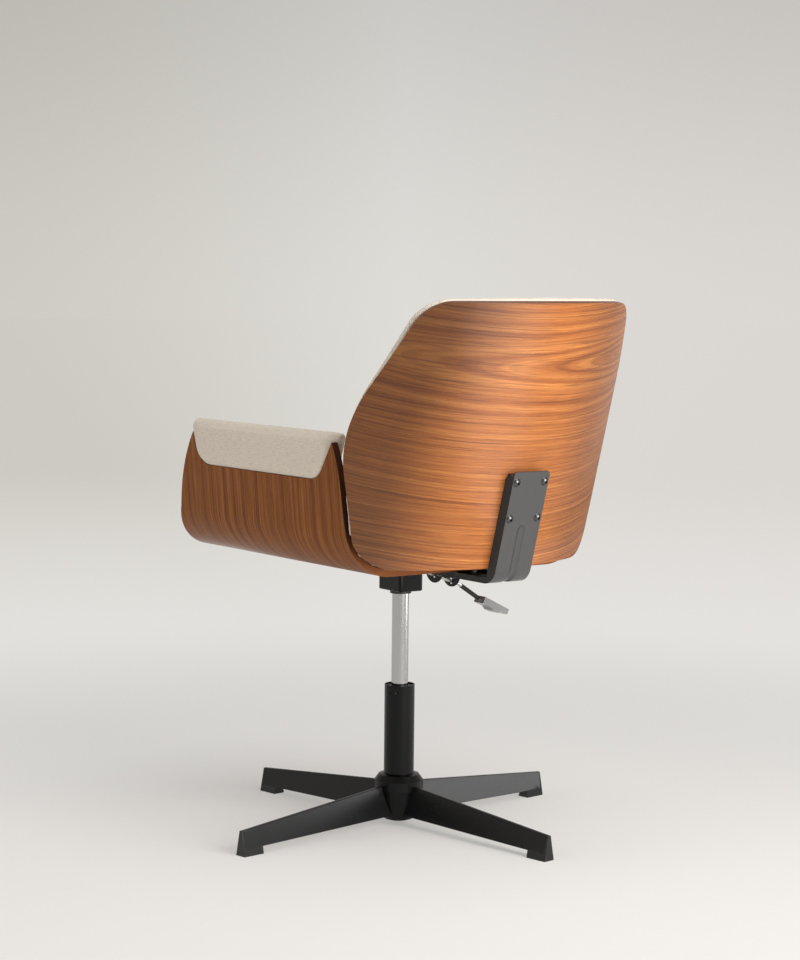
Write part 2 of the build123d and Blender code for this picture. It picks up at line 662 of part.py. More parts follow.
def arm_pad():
    """Padding over the scooped top of the +X arm and down its inside."""
    deepest = PLY + ARM_PAD_LINING
    ends = (ARM_PEAK_FRONT, ARM_PAD_REAR)
    above = make_face(Plane.YZ * (scoop_line() + Polyline(
        (ARM_PEAK_FRONT, ARM_PEAK_FRONT_Z),
        (ARM_PEAK_FRONT, ARM_PAD_TOP),
        (ARM_PAD_REAR, ARM_PAD_TOP),
        (ARM_PEAK_REAR, ARM_PEAK_REAR_Z),
    )))
    roll = along_y(arm_bar(-ARM_PAD_PROUD, deepest, SCOOP_BOTTOM), *ends) & along_x(above, WHOLE)
    inside = make_face(Plane.YZ * Polyline(
        (ARM_PEAK_FRONT, ARM_PEAK_FRONT_Z),
        (ARM_PEAK_REAR, ARM_PEAK_REAR_Z),
        (SHELL_REAR - ARM_PAD_REAR_LOW_IN, ARM_PAD_BOTTOM),
        (ARM_FRONT_MID + ARM_PAD_FRONT_IN, ARM_PAD_BOTTOM),
        close=True,
    ))
    slab = along_y(arm_bar(PLY, deepest, ARM_PAD_BOTTOM), ARM_FRONT_MID, ARM_PAD_REAR)
    return roll + (slab & along_x(inside, WHOLE)) - back_zone()


def pad_front(x, level):
    """How far back the seat cushion may reach before it meets the back pad."""
    radius = BACK_INNER - BACK_PAD_THICKNESS - CUSHION_BACK_GAP
    behind = (BACK_RADIUS - sqrt(radius**2 - x**2)) / cos(LEAN)
    return BACK_REAR_Y + (level - SHELL_UNDERSIDE) * tan(LEAN) - behind


def cushion_plan(level, half, end_inset):
    """Plan of the seat cushion: bowed front, drawn-in sides and a round rear."""
    corner, front = CUSHION_CORNER, CUSHION_FRONT + end_inset
    rear = pad_front(half - corner, SHELL_TOP) - end_inset
    middle = pad_front(0, SHELL_TOP) - end_inset
    ease = corner * (1 - sin(radians(45)))
    edges = ThreePointArc((-half + corner, front), (0, front - CUSHION_FRONT_BOW), (half - corner, front))
    for side in (1, -1):
        low, high = (side * half, front + corner), (side * half, rear - corner)
        edges += ThreePointArc(
            (side * (half - corner), front), (side * (half - ease), front + ease), low
        )
        edges += ThreePointArc(low, (side * (half - CUSHION_DRAW_IN), (front + rear) / 2), high)
        edges += ThreePointArc(
            high, (side * (half - ease), rear - ease), (side * (half - corner), rear)
        )
    edges += ThreePointArc((half - corner, rear), (0, middle), (-half + corner, rear))
    return make_face(Pos(0, 0, level) * edges)


def seat_cushion():
    """Crowned cushion with round edges that rests on the flat of the seat shell."""
    widest = cushion_plan(SHELL_TOP + CUSHION_TAPER, CUSHION_HALF, 0)
    block = extrude(widest, CUSHION_HEIGHT - CUSHION_TAPER)
    middle = block.bounding_box().center().Y
    block &= Pos(0, middle, SHELL_TOP + CUSHION_HEIGHT - CUSHION_DOME) * Sphere(CUSHION_DOME)
    dome = block.faces().filter_by(GeomType.SPHERE)[0]
    block = fillet(dome.edges(), CUSHION_TOP_ROUND)
    return block + loft([cushion_plan(SHELL_TOP, SHELL_FLAT_HALF, CUSHION_BASE_IN), widest])


# Under-seat mechanism

def lever_z(x):
    """Height of the lever's axis at rest, outside its pivot."""
    bend = PIVOT_Z - (PIVOT_X - LEVER_BEND_X) * tan(radians(LEVER_INNER_SLOPE))
    if x >= LEVER_BEND_X:
        return PIVOT_Z - (PIVOT_X - x) * tan(radians(LEVER_INNER_SLOPE))
    return bend - (LEVER_BEND_X - x) * tan(radians(LEVER_OUTER_SLOPE))


def lever_slot(x, thickness):
    """Upright slot that lets the lever swing through a plate centred at x."""
    play = LEVER_ROD_RADIUS / cos(radians(LEVER_INNER_SLOPE)) + SLOT_PLAY
    outer, inner = x - thickness / 2, x + thickness / 2
    low = lever_z(outer) - play
    high = lever_z(inner) + (PIVOT_X - inner) * tan(radians(LEVER_TRAVEL)) + play
    width = 2 * (LEVER_ROD_RADIUS + SLOT_PLAY)
    return Pos(x, 0, (low + high) / 2) * Box(thickness + 2 * OVERCUT, width, high - low)


def lever_ear(x, radius, drop):
    """A round-ended plate across the lever, centred at x and hanging from the seat plate."""
    centre = lever_z(x) - drop + radius
    tall = Pos(0, PLATE_UNDERSIDE) * Rectangle(
        2 * radius, PLATE_UNDERSIDE - centre, align=(Align.CENTER, Align.MAX)
    )
    face = tall + make_face(
        CenterArc((0, centre), radius, 180, 180) + Line((-radius, centre), (radius, centre))
    )
    ear = Pos(x, 0, 0) * extrude(Plane.YZ * face, PLATE_SHEET / 2, both=True)
    return ear - lever_slot(x, PLATE_SHEET)


def seat_plate():
    """Pressed plate with turned-down sides, one of which carries the lever."""
    outline = RectangleRounded(2 * PLATE_HALF_X, 2 * PLATE_HALF_Y, PLATE_CORNER)
    plate = Pos(0, 0, PLATE_UNDERSIDE) * extrude(outline, PLATE_SHEET)
    length = 2 * (PLATE_HALF_Y - PLATE_CORNER)
    for x in (EAR_X, -EAR_X):
        plate += Pos(x, 0, PLATE_UNDERSIDE - PLATE_FLANGE / 2) * Box(PLATE_SHEET, length, PLATE_FLANGE)
    return plate + lever_ear(EAR_X, EAR_RADIUS, EAR_DROP)


def lever_guide():
    """Angle bracket under the seat plate that guides the lever near its pivot."""
    foot = Box(GUIDE_FOOT, 2 * GUIDE_RADIUS, PLATE_SHEET, align=(Align.MIN, Align.CENTER, Align.MAX))
    ear = lever_ear(-GUIDE_OUT, GUIDE_RADIUS, GUIDE_DROP)
    return ear + Pos(-GUIDE_OUT - PLATE_SHEET / 2, 0, PLATE_UNDERSIDE) * foot


def lift_socket():
    """Open-topped box that takes the gas cylinder and the lever's inner end."""
    up = (Align.CENTER, Align.CENTER, Align.MIN)
    box = Box(SOCKET_X, SOCKET_Y, SOCKET_HEIGHT, align=up)
    box = fillet(box.edges().filter_by(Axis.Z), SOCKET_CORNER)
    box = fillet(box.edges().group_by(Axis.Z)[0], SOCKET_EDGE_ROUND)
    inner = Box(SOCKET_X - 2 * SOCKET_WALL, SOCKET_Y - 2 * SOCKET_WALL, SOCKET_HEIGHT, align=up)
    box = Pos(0, 0, SOCKET_BOTTOM) * (box - Pos(0, 0, SOCKET_WALL) * inner)
    box -= rod(CYLINDER_RADIUS + TAPER_WALL, SOCKET_BOTTOM - OVERCUT, TAPER_TOP)
    return box - lever_slot((SOCKET_WALL - SOCKET_X) / 2, SOCKET_WALL) - pivot_bar(PIVOT_RADIUS)


def taper_bush():
    outer = CYLINDER_RADIUS + TAPER_WALL
    bush = ring(outer, CYLINDER_RADIUS, SOCKET_BOTTOM, TAPER_TOP)
    return bush + ring(outer + COLLAR_LIP, CYLINDER_RADIUS, SOCKET_BOTTOM - COLLAR_HEIGHT, SOCKET_BOTTOM)


# Lever

def pivot_bar(radius):
    return Pos(PIVOT_X, 0, PIVOT_Z) * Rot(90, 0, 0) * Cylinder(radius, SOCKET_Y)


def lever_pivot_pin():
    pin = pivot_bar(PIVOT_RADIUS)
    for side in (1, -1):
        head = Rot(90, 0, 0) * Cylinder(PIVOT_HEAD_RADIUS, PIVOT_HEAD)
        pin += Pos(PIVOT_X, side * (SOCKET_Y + PIVOT_HEAD) / 2, PIVOT_Z) * head
    return pin


def handle_plane():
    """Frame of the handle: X along it, away from the pivot, and Z out of its top."""
    slope = radians(HANDLE_SLOPE)
    return Plane(
        origin=(HANDLE_X, 0, lever_z(HANDLE_X)),
        x_dir=(-cos(slope), 0, -sin(slope)),
        z_dir=(-sin(slope), 0, cos(slope)),
    )


def lever_rod():
    """Bent rod with a flat tip over the valve pin and a boss on the pivot."""
    end = handle_plane().from_local_coords(Vector(HANDLE_ROD_DEPTH, 0, 0))
    path = Plane.XZ * FilletPolyline(
        (PIVOT_X, PIVOT_Z),
        (LEVER_BEND_X, lever_z(LEVER_BEND_X)),
        (HANDLE_X, lever_z(HANDLE_X)),
        (end.X, end.Z),
        radius=LEVER_BEND_ROUND,
    )
    bar = sweep(Plane(origin=path @ 0, z_dir=path % 0) * Circle(LEVER_ROD_RADIUS), path)
    boss = Pos(PIVOT_X, 0, PIVOT_Z) * Rot(90, 0, 0) * Cylinder(LEVER_BOSS_RADIUS, LEVER_BOSS_WIDTH)
    length = LEVER_TIP_REACH - PIVOT_X
    low = CYLINDER_TOP + VALVE_PIN_RISE + LOOSE
    tip = Box(length, LEVER_BOSS_WIDTH, LEVER_TIP_THICKNESS, align=(Align.MIN, Align.CENTER, Align.MIN))
    lever = bar + boss + Pos(PIVOT_X, 0, low) * tip
    return lever - pivot_bar(PIVOT_RADIUS + RUNNING)


def lever_sleeve():
    """Black sleeve on the rod, from just past its bend to the handle."""
    slope = radians(LEVER_OUTER_SLOPE)
    start = Plane(
        origin=(LEVER_SLEEVE_X, 0, lever_z(LEVER_SLEEVE_X)),
        x_dir=(0, 1, 0),
        z_dir=(-cos(slope), 0, -sin(slope)),
    )
    length = (LEVER_SLEEVE_X - HANDLE_X) / cos(slope) - LEVER_BEND_ROUND / 4
    tube = Circle(LEVER_SLEEVE_RADIUS) - Circle(LEVER_ROD_RADIUS)
    return extrude(start * tube, length)


def lever_handle():
    """Moulded paddle with a finger rib underneath."""
    half = HANDLE_THICKNESS / 2
    side = make_face(Polyline(
        (0, -half),
        (0, half),
        (HANDLE_LENGTH, half - HANDLE_TAPER),
        (HANDLE_LENGTH, HANDLE_TAPER - half),
        (GRIP_OUT + 3 * GRIP_NOTCH, -half),
        (GRIP_OUT + 2 * GRIP_NOTCH, -half - GRIP_NOTCH),
        (GRIP_OUT - GRIP_NOTCH, -half - GRIP_NOTCH),
        (GRIP_OUT - 3 * GRIP_NOTCH, -half),
        close=True,
    ))
    paddle = extrude(Plane.XZ * side, HANDLE_WIDTH / 2, both=True)
    ends = paddle.edges().filter_by(Axis.Z).filter_by(lambda e: e.center().X > HANDLE_LENGTH / 2)
    paddle = fillet(ends, HANDLE_ROUND)
    return handle_plane() * paddle - lever_rod()


# Back bracket

def web_y(z):
    """Outer face of the bracket's upright, at the middle."""
    return BACK_REAR_Y + (z - SHELL_UNDERSIDE) * tan(LEAN) + BRACKET_STANDOFF / cos(LEAN)


def back_sagitta(x):
    """How far the back shell's rear face falls away from the middle, at a distance from it."""
    return BACK_RADIUS - sqrt(BACK_RADIUS**2 - x**2)


def bracket_line(top, back_depth, seat_depth, radius):
    """Side view of the bracket's bend, at a depth inside its outer face."""
    upright = web_y(top) - back_depth * cos(LEAN), top + back_depth * sin(LEAN)
    low = BRACKET_BOTTOM + seat_depth
    corner = web_y(low) - back_depth / cos(LEAN), low
    return FilletPolyline(upright, corner, (BRACKET_FRONT, low), radius=radius)


def bracket_band(top, back_depth, seat_depth, inner_radius):
    """Side view of a layer of the bracket, from its outer face inwards."""
    outer = bracket_line(top, 0, 0, BRACKET_ELBOW)
    inner = bracket_line(top, back_depth, seat_depth, inner_radius)
    return make_face(outer + inner + Line(outer @ 0, inner @ 0) + Line(outer @ 1, inner @ 1))


def bead(radius):
    """Round bar along the bracket's face, sunk in it by the depth of the bead."""
    out = BEAD_RADIUS - BEAD_DEPTH
    path = Plane.YZ * bracket_line(BEAD_TOP, -out, -out, BRACKET_ELBOW + out)
    bar = sweep(Plane(origin=path @ 0, z_dir=path % 0) * Circle(radius), path)
    return bar + Pos(path @ 0) * Sphere(radius)


def back_bracket():
    half = BRACKET_WIDTH / 2
    sheet = BRACKET_SHEET
    web = along_x(Plane.YZ * bracket_band(BRACKET_TOP, sheet, sheet, BRACKET_ELBOW - sheet), half)
    ends = web.edges().filter_by(lambda e: e.center().Z > BRACKET_TOP)
    web = fillet(ends.filter_by(lambda e: abs(e.center().X) > BRACKET_INNER), BRACKET_CORNER)
    depth = BRACKET_STANDOFF + back_sagitta(BRACKET_INNER) - LOOSE
    side = bracket_band(BRACKET_TOP - FLANGE_DROP, depth, BRACKET_DROP, sheet)
    top_corner = side.vertices().sort_by(Axis.Y)[-1]
    side = fillet(top_corner, FLANGE_ROUND)
    flanges = along_x(Plane.YZ * side, half) - along_x(Plane.YZ * side, half - sheet)
    deep = sheet + BEAD_DEPTH
    under = bracket_band(BEAD_TOP, deep, deep, BRACKET_ELBOW - deep)
    backing = bead(BEAD_RADIUS + sheet) & along_x(Plane.YZ * under, half)
    return web + flanges + backing - bead(BEAD_RADIUS)


# Screws, nuts and spacers

def screw(length):
    """Button-head screw: the head stands on the XY plane and the shank goes down."""
    ball = (SCREW_HEAD_RADIUS**2 + SCREW_HEAD**2) / (2 * SCREW_HEAD)
    head = Pos(0, 0, SCREW_HEAD - ball) * Sphere(ball) & rod(SCREW_HEAD_RADIUS, 0, SCREW_HEAD)
    key = RegularPolygon(SOCKET_KEY / sqrt(3), 6)
    head -= Pos(0, 0, SCREW_HEAD - SOCKET_KEY_DEPTH) * extrude(key, SCREW_HEAD)
    return head + rod(SCREW_RADIUS, -length, 0)


def nut(grip, length):
    """Tee nut pressed into the ply from the far side, ending where the screw's grip does."""
    flange = NUT_FLANGE - grip
    barrel = ring(NUT_BARREL_RADIUS, SCREW_RADIUS, flange, flange + length)
    return barrel + ring(NUT_FLANGE_RADIUS, SCREW_RADIUS, -grip, flange)


def back_face(x, z):
    """A frame on the bracket's upright, facing out of the back."""
    out = (0, cos(LEAN), -sin(LEAN))
    return Plane(origin=(x, web_y(z), z), x_dir=(1, 0, 0), z_dir=out)


def back_screw_levels():
    return BACK_SCREW_TOP, BACK_SCREW_TOP - BACK_SCREW_PITCH


def back_screw_planes():
    return [back_face(x, z) for z in back_screw_levels() for x in (BACK_SCREW_X, -BACK_SCREW_X)]


def under_planes(places, level):
    """Screw seats under the seat, facing down."""
    return [Plane(origin=(x, y, level), x_dir=(1, 0, 0), z_dir=(0, 0, -1)) for x, y in places]


def copies(shape, planes):
    return Compound([solid for plane in planes for solid in (plane * shape).solids()])


def minus(shape, *tools):
    """A solid with holes where other pieces pass through it."""
    for tool in tools:
        for solid in tool.solids():
            shape -= solid
    return shape


def back_spacers():
    """Packing blocks between the bracket's upright and the round of the back."""
    depth = BRACKET_STANDOFF + back_sagitta(BRACKET_INNER)
    block = Box(
        2 * (BRACKET_INNER - TOUCH_GAP),
        BACK_SPACER_HEIGHT,
        depth - BRACKET_SHEET,
        align=(Align.CENTER, Align.CENTER, Align.MIN),
    )
    block = Pos(0, 0, -depth) * block
    blocks = []
    for z in back_screw_levels():
        blocks.append((back_face(0, z) * block - back_cylinder(BACK_RADIUS)).solid())
    return Compound(blocks)


def grid(half_x, first_y, last_y):
    """Four places, mirrored across the middle."""
    return [(x, y) for x in (half_x, -half_x) for y in (first_y, last_y)]


def build():
    plate_y = PLATE_HALF_Y - SEAT_SCREW_EDGE_Y
    seat_places = grid(PLATE_HALF_X - SEAT_SCREW_EDGE_X, -plate_y, plate_y)
    first = BRACKET_FRONT + BRACKET_SCREW_END
    arm_places = grid(BRACKET_WIDTH / 2 - BRACKET_SCREW_EDGE, first, first + BRACKET_SCREW_PITCH)
    seat_planes = under_planes(seat_places, PLATE_UNDERSIDE)
    arm_planes = under_planes(arm_places, BRACKET_BOTTOM)
    back_planes = back_screw_planes()

    seat_grip = SHELL_TOP - PLATE_UNDERSIDE
    arm_grip = SHELL_TOP - BRACKET_BOTTOM
    back_grip = BRACKET_STANDOFF + PLY
    barrel = PLY - NUT_FLANGE - NUT_COVER
    fall = back_sagitta(BACK_SCREW_X + NUT_BARREL_RADIUS)
    seat_bolts = copies(screw(seat_grip), seat_planes)
    seat_nuts = copies(nut(seat_grip, barrel), seat_planes)
    bracket_bolts = copies(screw(arm_grip), arm_planes)
    bracket_nuts = copies(nut(arm_grip, barrel), arm_planes)
    spacer = ring(SPACER_RADIUS, SCREW_RADIUS, -BRACKET_DROP, -BRACKET_SHEET)
    bracket_spacers = copies(spacer, arm_planes)
    back_bolts = copies(screw(back_grip), back_planes)
    back_nuts = copies(nut(back_grip, barrel - fall), back_planes)
    pockets = copies(rod(NUT_FLANGE_RADIUS, -back_grip - PLY, -back_grip), back_planes)

    shell = minus(seat_shell(), seat_bolts, seat_nuts, bracket_bolts, bracket_nuts)
    pad = arm_pad()
    nodes = {
        "hub": hub(),
        "hub_plug": hub_plug(),
        "stand_tube": stand_tube(),
        "guide_bush": guide_bush(),
        "lower_race": race(RACE_SEAT),
        "bearing_balls": bearing_balls(),
        "upper_race": race(UPPER_RACE),
        "support_washer": ring(RACE_OUTER, SPIGOT_RADIUS, UPPER_RACE + RACE_THICKNESS, SHOULDER_Z),
        "rubber_buffer": ring(BUFFER_RADIUS, ROD_RADIUS, SHOULDER_Z, SHOULDER_Z + BUFFER_HEIGHT),
        "piston_rod": piston_rod(),
        "piston": ring(BORE_RADIUS - RUNNING, ROD_RADIUS, PISTON_Z, PISTON_Z + PISTON_HEIGHT),
        "clip_washer": ring(
            CLIP_WASHER_RADIUS, SPIGOT_RADIUS, TUBE_BOTTOM - CLIP_WASHER_THICKNESS, TUBE_BOTTOM
        ),
        "rod_clip": ring(CLIP_RADIUS, CLIP_GROOVE_RADIUS, CLIP_Z, CLIP_Z + CLIP_THICKNESS),
        "gas_cylinder": gas_cylinder(),
        "rod_guide": ring(
            BORE_RADIUS, ROD_RADIUS + RUNNING, CYLINDER_BOTTOM, CYLINDER_BOTTOM + ROD_GUIDE_HEIGHT
        ),
        "valve_pin": valve_pin(),
        "taper_bush": taper_bush(),
        "lift_socket": lift_socket(),
        "seat_plate": minus(seat_plate(), seat_bolts),
        "seat_bolts": seat_bolts,
        "seat_nuts": seat_nuts,
        "lever_guide": lever_guide(),
        "lever_pivot_pin": lever_pivot_pin(),
        "lever_rod": lever_rod(),
        "lever_sleeve": lever_sleeve(),
        "lever_handle": lever_handle(),
        "seat_shell": shell,
        "seat_cushion": seat_cushion(),
        "arm_pad_left": pad,
        "arm_pad_right": mirror(pad, Plane.YZ),
        "back_shell": minus(back_blank(back_outline(), PLY), back_bolts, back_nuts, pockets),
        "back_pad": back_pad(),
        "back_bracket": minus(back_bracket(), back_bolts, bracket_bolts),
        "back_bolts": back_bolts,
        "back_nuts": back_nuts,
        "back_spacers": minus(back_spacers(), back_bolts),
        "bracket_bolts": bracket_bolts,
        "bracket_nuts": bracket_nuts,
        "bracket_spacers": bracket_spacers,
    }
    leg, foot = leg_blank(), foot_blank()
    for index, name in enumerate(LEG_NAMES):
        turn = Rot(0, 0, BASE_TURN + 360 * index / len(LEG_NAMES))
        nodes["leg_" + name] = turn * leg
        nodes["foot_" + name] = turn * foot
    return nodes


def main():
    os.makedirs("parts", exist_ok=True)
    nodes = build()
    boxes = [shape.bounding_box() for shape in nodes.values()]
    middle = (min(box.min.Y for box in boxes) + max(box.max.Y for box in boxes)) / 2
    print("column axis at Y", round(-middle, 3))
    for name, shape in nodes.items():
        export_step(Pos(0, -middle, 0) * shape, "parts/" + name + ".step")


main()
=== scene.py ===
import math

import bmesh
import bpy
import numpy as np
from mathutils import Matrix, Vector
from mathutils.bvhtree import BVHTree

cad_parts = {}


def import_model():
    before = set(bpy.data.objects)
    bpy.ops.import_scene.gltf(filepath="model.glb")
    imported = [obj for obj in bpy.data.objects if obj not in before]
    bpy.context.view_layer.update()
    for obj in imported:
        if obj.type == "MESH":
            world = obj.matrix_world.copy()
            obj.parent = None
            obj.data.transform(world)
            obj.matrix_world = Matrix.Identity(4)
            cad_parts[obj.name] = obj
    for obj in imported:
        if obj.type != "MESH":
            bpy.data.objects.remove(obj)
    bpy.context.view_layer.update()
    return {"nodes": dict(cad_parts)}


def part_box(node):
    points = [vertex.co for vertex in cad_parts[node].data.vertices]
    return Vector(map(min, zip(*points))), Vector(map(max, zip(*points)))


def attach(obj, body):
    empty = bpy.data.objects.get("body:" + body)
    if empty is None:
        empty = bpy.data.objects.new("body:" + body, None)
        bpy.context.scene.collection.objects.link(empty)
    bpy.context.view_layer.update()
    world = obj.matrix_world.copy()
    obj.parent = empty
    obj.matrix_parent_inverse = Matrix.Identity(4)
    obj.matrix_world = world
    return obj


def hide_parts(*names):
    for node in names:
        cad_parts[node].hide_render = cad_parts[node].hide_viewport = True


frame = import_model()
nodes = frame["nodes"]

# The column's axis: the camera and the lamps are placed from it.
lift_low, lift_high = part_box("gas_cylinder")
COLUMN_Y = (lift_low.y + lift_high.y) / 2

# The photo's camera, solved from the base and column. It stands behind the chair, towards the
# sitter's left. The studio frame has its X to the right of the photo and its Y away from the camera.
STUDIO_TURN = math.radians(35.5)
CAMERA_DISTANCE = 3.8907
CAMERA_HEIGHT = 0.9123
CAMERA_PITCH = math.radians(4.996)
CAMERA_ROLL = math.radians(0.589)
CAMERA_YAW = math.radians(-0.043)
CAMERA_LENS = 89.28
CAMERA_SENSOR = 36.0
CAMERA_SIGHT = 200.0

# Walnut shells, as they are built: the back is a slice of a leaning cylinder.
BACK_LEAN = math.radians(16.2)
BACK_RADIUS = 0.326
BACK_REAR = 0.276
BACK_REAR_LEVEL = 0.443
BACK_AXIS_Y = BACK_REAR + COLUMN_Y - BACK_RADIUS / math.cos(BACK_LEAN)
PLY = 0.011
VENEER = 0.0014
ARM_EDGE_LEVEL = 0.545


def studio(x, y, z):
    """A place in the frame from one in the studio: right of the photo, away from the camera, up."""
    cos, sin = math.cos(STUDIO_TURN), math.sin(STUDIO_TURN)
    return Vector((-cos * x - sin * y, sin * x - cos * y + COLUMN_Y, z))


def studio_direction(x, y, z):
    return studio(x, y, z) - studio(0, 0, 0)


# Shader building


def plug(tree, socket, value):
    """Give an input a value, or link it to another node's output."""
    if isinstance(value, bpy.types.NodeSocket):
        tree.links.new(value, socket)
    elif socket.type == "RGBA":
        socket.default_value = (*value, 1.0)
    else:
        socket.default_value = value


def feed(tree, node, inputs):
    for name, value in inputs.items():
        plug(tree, node.inputs[name], value)


def add(tree, kind, inputs=None, **settings):
    """A shader node with its settings and inputs."""
    node = tree.nodes.new(kind)
    for name, value in settings.items():
        setattr(node, name, value)
    feed(tree, node, inputs or {})
    return node


def maths(tree, operation, first, second=0.0):
    return add(tree, "ShaderNodeMath", {0: first, 1: second}, operation=operation).outputs[0]


def plus(tree, first, second):
    return maths(tree, "ADD", first, second)


def minus(tree, first, second):
    return maths(tree, "SUBTRACT", first, second)


def times(tree, first, second):
    return maths(tree, "MULTIPLY", first, second)


def squared_sum(tree, first, second):
    return plus(tree, times(tree, first, first), times(tree, second, second))


def spread(tree, share, low, high):
    """A share from 0 to 1, spread between two values."""
    inputs = {"Value": share, "To Min": low, "To Max": high}
    return add(tree, "ShaderNodeMapRange", inputs).outputs[0]


def smooth_step(tree, value, low, high, start=0.0, end=1.0):
    """The start value below the low level, easing to the end value at the high one."""
    inputs = {"Value": value, "From Min": low, "From Max": high, "To Min": start, "To Max": end}
    return add(tree, "ShaderNodeMapRange", inputs, interpolation_type="SMOOTHSTEP").outputs[0]


def combine(tree, x, y, z):
    return add(tree, "ShaderNodeCombineXYZ", {0: x, 1: y, 2: z}).outputs[0]


def split(tree, vector):
    return add(tree, "ShaderNodeSeparateXYZ", {0: vector}).outputs


def dot(tree, first, second):
    inputs = {0: first, 1: second}
    return add(tree, "ShaderNodeVectorMath", inputs, operation="DOT_PRODUCT").outputs["Value"]


def noise(tree, vector, scale, detail=3.0, roughness=0.5):
    inputs = {"Vector": vector, "Scale": scale, "Detail": detail, "Roughness": roughness}
    return add(tree, "ShaderNodeTexNoise", inputs).outputs[0]


def ramp(tree, factor, stops):
    node = add(tree, "ShaderNodeValToRGB", {"Fac": factor})
    elements = node.color_ramp.elements
    while len(elements) < len(stops):
        elements.new(0.5)
    for element, (place, colour) in zip(elements, stops):
        element.position = place
        element.color = (*colour, 1.0)
    return node.outputs[0]


def mix(tree, factor, first, second, blend="MIX"):
    node = add(tree, "ShaderNodeMix", data_type="RGBA", blend_type=blend, clamp_result=False)
    sockets = {socket.identifier: socket for socket in node.inputs}
    plug(tree, sockets["Factor_Float"], factor)
    plug(tree, sockets["A_Color"], first)
    plug(tree, sockets["B_Color"], second)
    return next(socket for socket in node.outputs if socket.identifier == "Result_Color")


def object_place(tree):
    """A point in the frame: as a vector, and its X, Y and Z."""
    place = add(tree, "ShaderNodeTexCoord").outputs["Object"]
    x, y, z = split(tree, place)
    return place, x, y, z


def face_normal(tree):
    return split(tree, add(tree, "ShaderNodeNewGeometry").outputs["True Normal"])


def bump(tree, height, strength, distance):
    inputs = {"Height": height, "Strength": strength, "Distance": distance}
    return add(tree, "ShaderNodeBump", inputs).outputs[0]


def material(name, colour):
    made = bpy.data.materials.new(name)
    made.use_nodes = True
    made.diffuse_color = (*colour, 1.0)
    tree = made.node_tree
    surface = tree.nodes["Principled BSDF"]
    plug(tree, surface.inputs["Base Color"], colour)
    return made, tree, surface


# Walnut

WALNUT_LIGHT = (0.600, 0.235, 0.060)
WALNUT_MID = (0.440, 0.149, 0.036)
WALNUT_DEEP = (0.295, 0.083, 0.021)
WALNUT_LINE = (0.115, 0.030, 0.008)
FIGURE_STOPS = ((0.32, WALNUT_DEEP), (0.50, WALNUT_MID), (0.66, WALNUT_LIGHT))
GRAIN_STOPS = ((0.30, (0.72, 0.67, 0.64)), (0.68, (1.20, 1.19, 1.16)))
# Ply edge colours. On the seat shell the dark one is also the arms' painted shade, the low one the
# edge below the back.
PLY_DARK = (0.050, 0.017, 0.008)
PLY_LIGHT = (0.200, 0.074, 0.031)
PLY_LOW = (0.260, 0.092, 0.036)

# Streaks in the wood, in metres: how long each kind is along the grain, and how far apart across it
DRIFT = (0.55, 0.09)
RIPPLE = (0.014, 0.007)
FIBRE = (0.045, 0.0010)
LINE = (0.32, 0.0030)
PORE = (0.014, 0.0006)
RIPPLE_SWAY = 0.0019
# Where a ring's late wood starts and is full, as shares of the ring, and where its weight, a line
# and a pore do, as levels of their noise
LATE_WOOD = (0.55, 0.97)
LATE_WEIGHTS = (0.35, 0.75)
LINE_BAND = (0.57, 0.63)
PORE_BAND = (0.60, 0.74)
# How far each of them darkens the wood
LATE_DARK, LINE_DARK, PORE_DARK = 0.60, 0.50, 0.38
# How fast the tone changes from ring to ring, and the late wood's weight along each ring
RING_CHANGE, WEIGHT_CHANGE = 0.55, 5.0
# How much the fibres' shine spreads, a quarter turn from their run, and how its roughness varies
FIBRE_SPREAD, QUARTER_TURN, FIBRE_ROUGH = 0.85, 0.25, 0.05
FIBRE_RELIEF, FIBRE_HEIGHT = 0.08, 0.0003

# Each shell's growth rings: their pitch and how far they wander
BACK_RINGS, BACK_WANDER = 0.0050, 0.016
SHELL_RINGS, SHELL_WANDER = 0.0075, 0.012
SHELL_SLOPE = 0.02
# The back's rings arch about one level, and their depth there grows along the grain.
ARCH_LEVEL, ARCH_DEPTH, ARCH_GROWTH = 0.765, 0.026, 0.060
# How strongly the oiled fibres shine, and how roughly
BACK_SHINE, BACK_ROUGH = 0.50, 0.46
SHELL_SHINE, SHELL_ROUGH = 0.07, 0.30
# Painted shade darkens the back towards both sides: where round it that starts and is full, and how
# dark it gets. Above its level the left side's painted shade slants inwards.
BACK_LEFT, BACK_LEFT_SHADE = (0.075, 0.235), 0.32
BACK_RIGHT, BACK_RIGHT_SHADE = (-0.02, -0.16), 0.60
BACK_SLANT_LEVEL, BACK_SLANT = 0.66, 0.35
# The seat shell is deeper in tone. The arms' rear edges carry painted shade, darker than the edge
# under the back, between these levels.
SHELL_TONE = 0.53
SHELL_EDGE_SHADE = (0.530, 0.455)
# How deep in the ply its edge starts and ends, short of either face
PLY_EDGE_START, PLY_EDGE_END = 0.0006, PLY - 0.0005
# A face whose normal leans this far towards an axis is a cut edge.
CUT_FACE = 0.5


def streaks(tree, along, across, size, seed, detail=3.0):
    """Noise drawn out along the grain, with the streaks' length and pitch as its size."""
    length, pitch = size
    x = maths(tree, "DIVIDE", along, length)
    y = maths(tree, "DIVIDE", across, pitch)
    return noise(tree, combine(tree, x, y, seed), 1.0, detail, 0.6)


def darkened(tree, figure, where, strength):
    return mix(tree, times(tree, where, strength), figure, WALNUT_LINE)


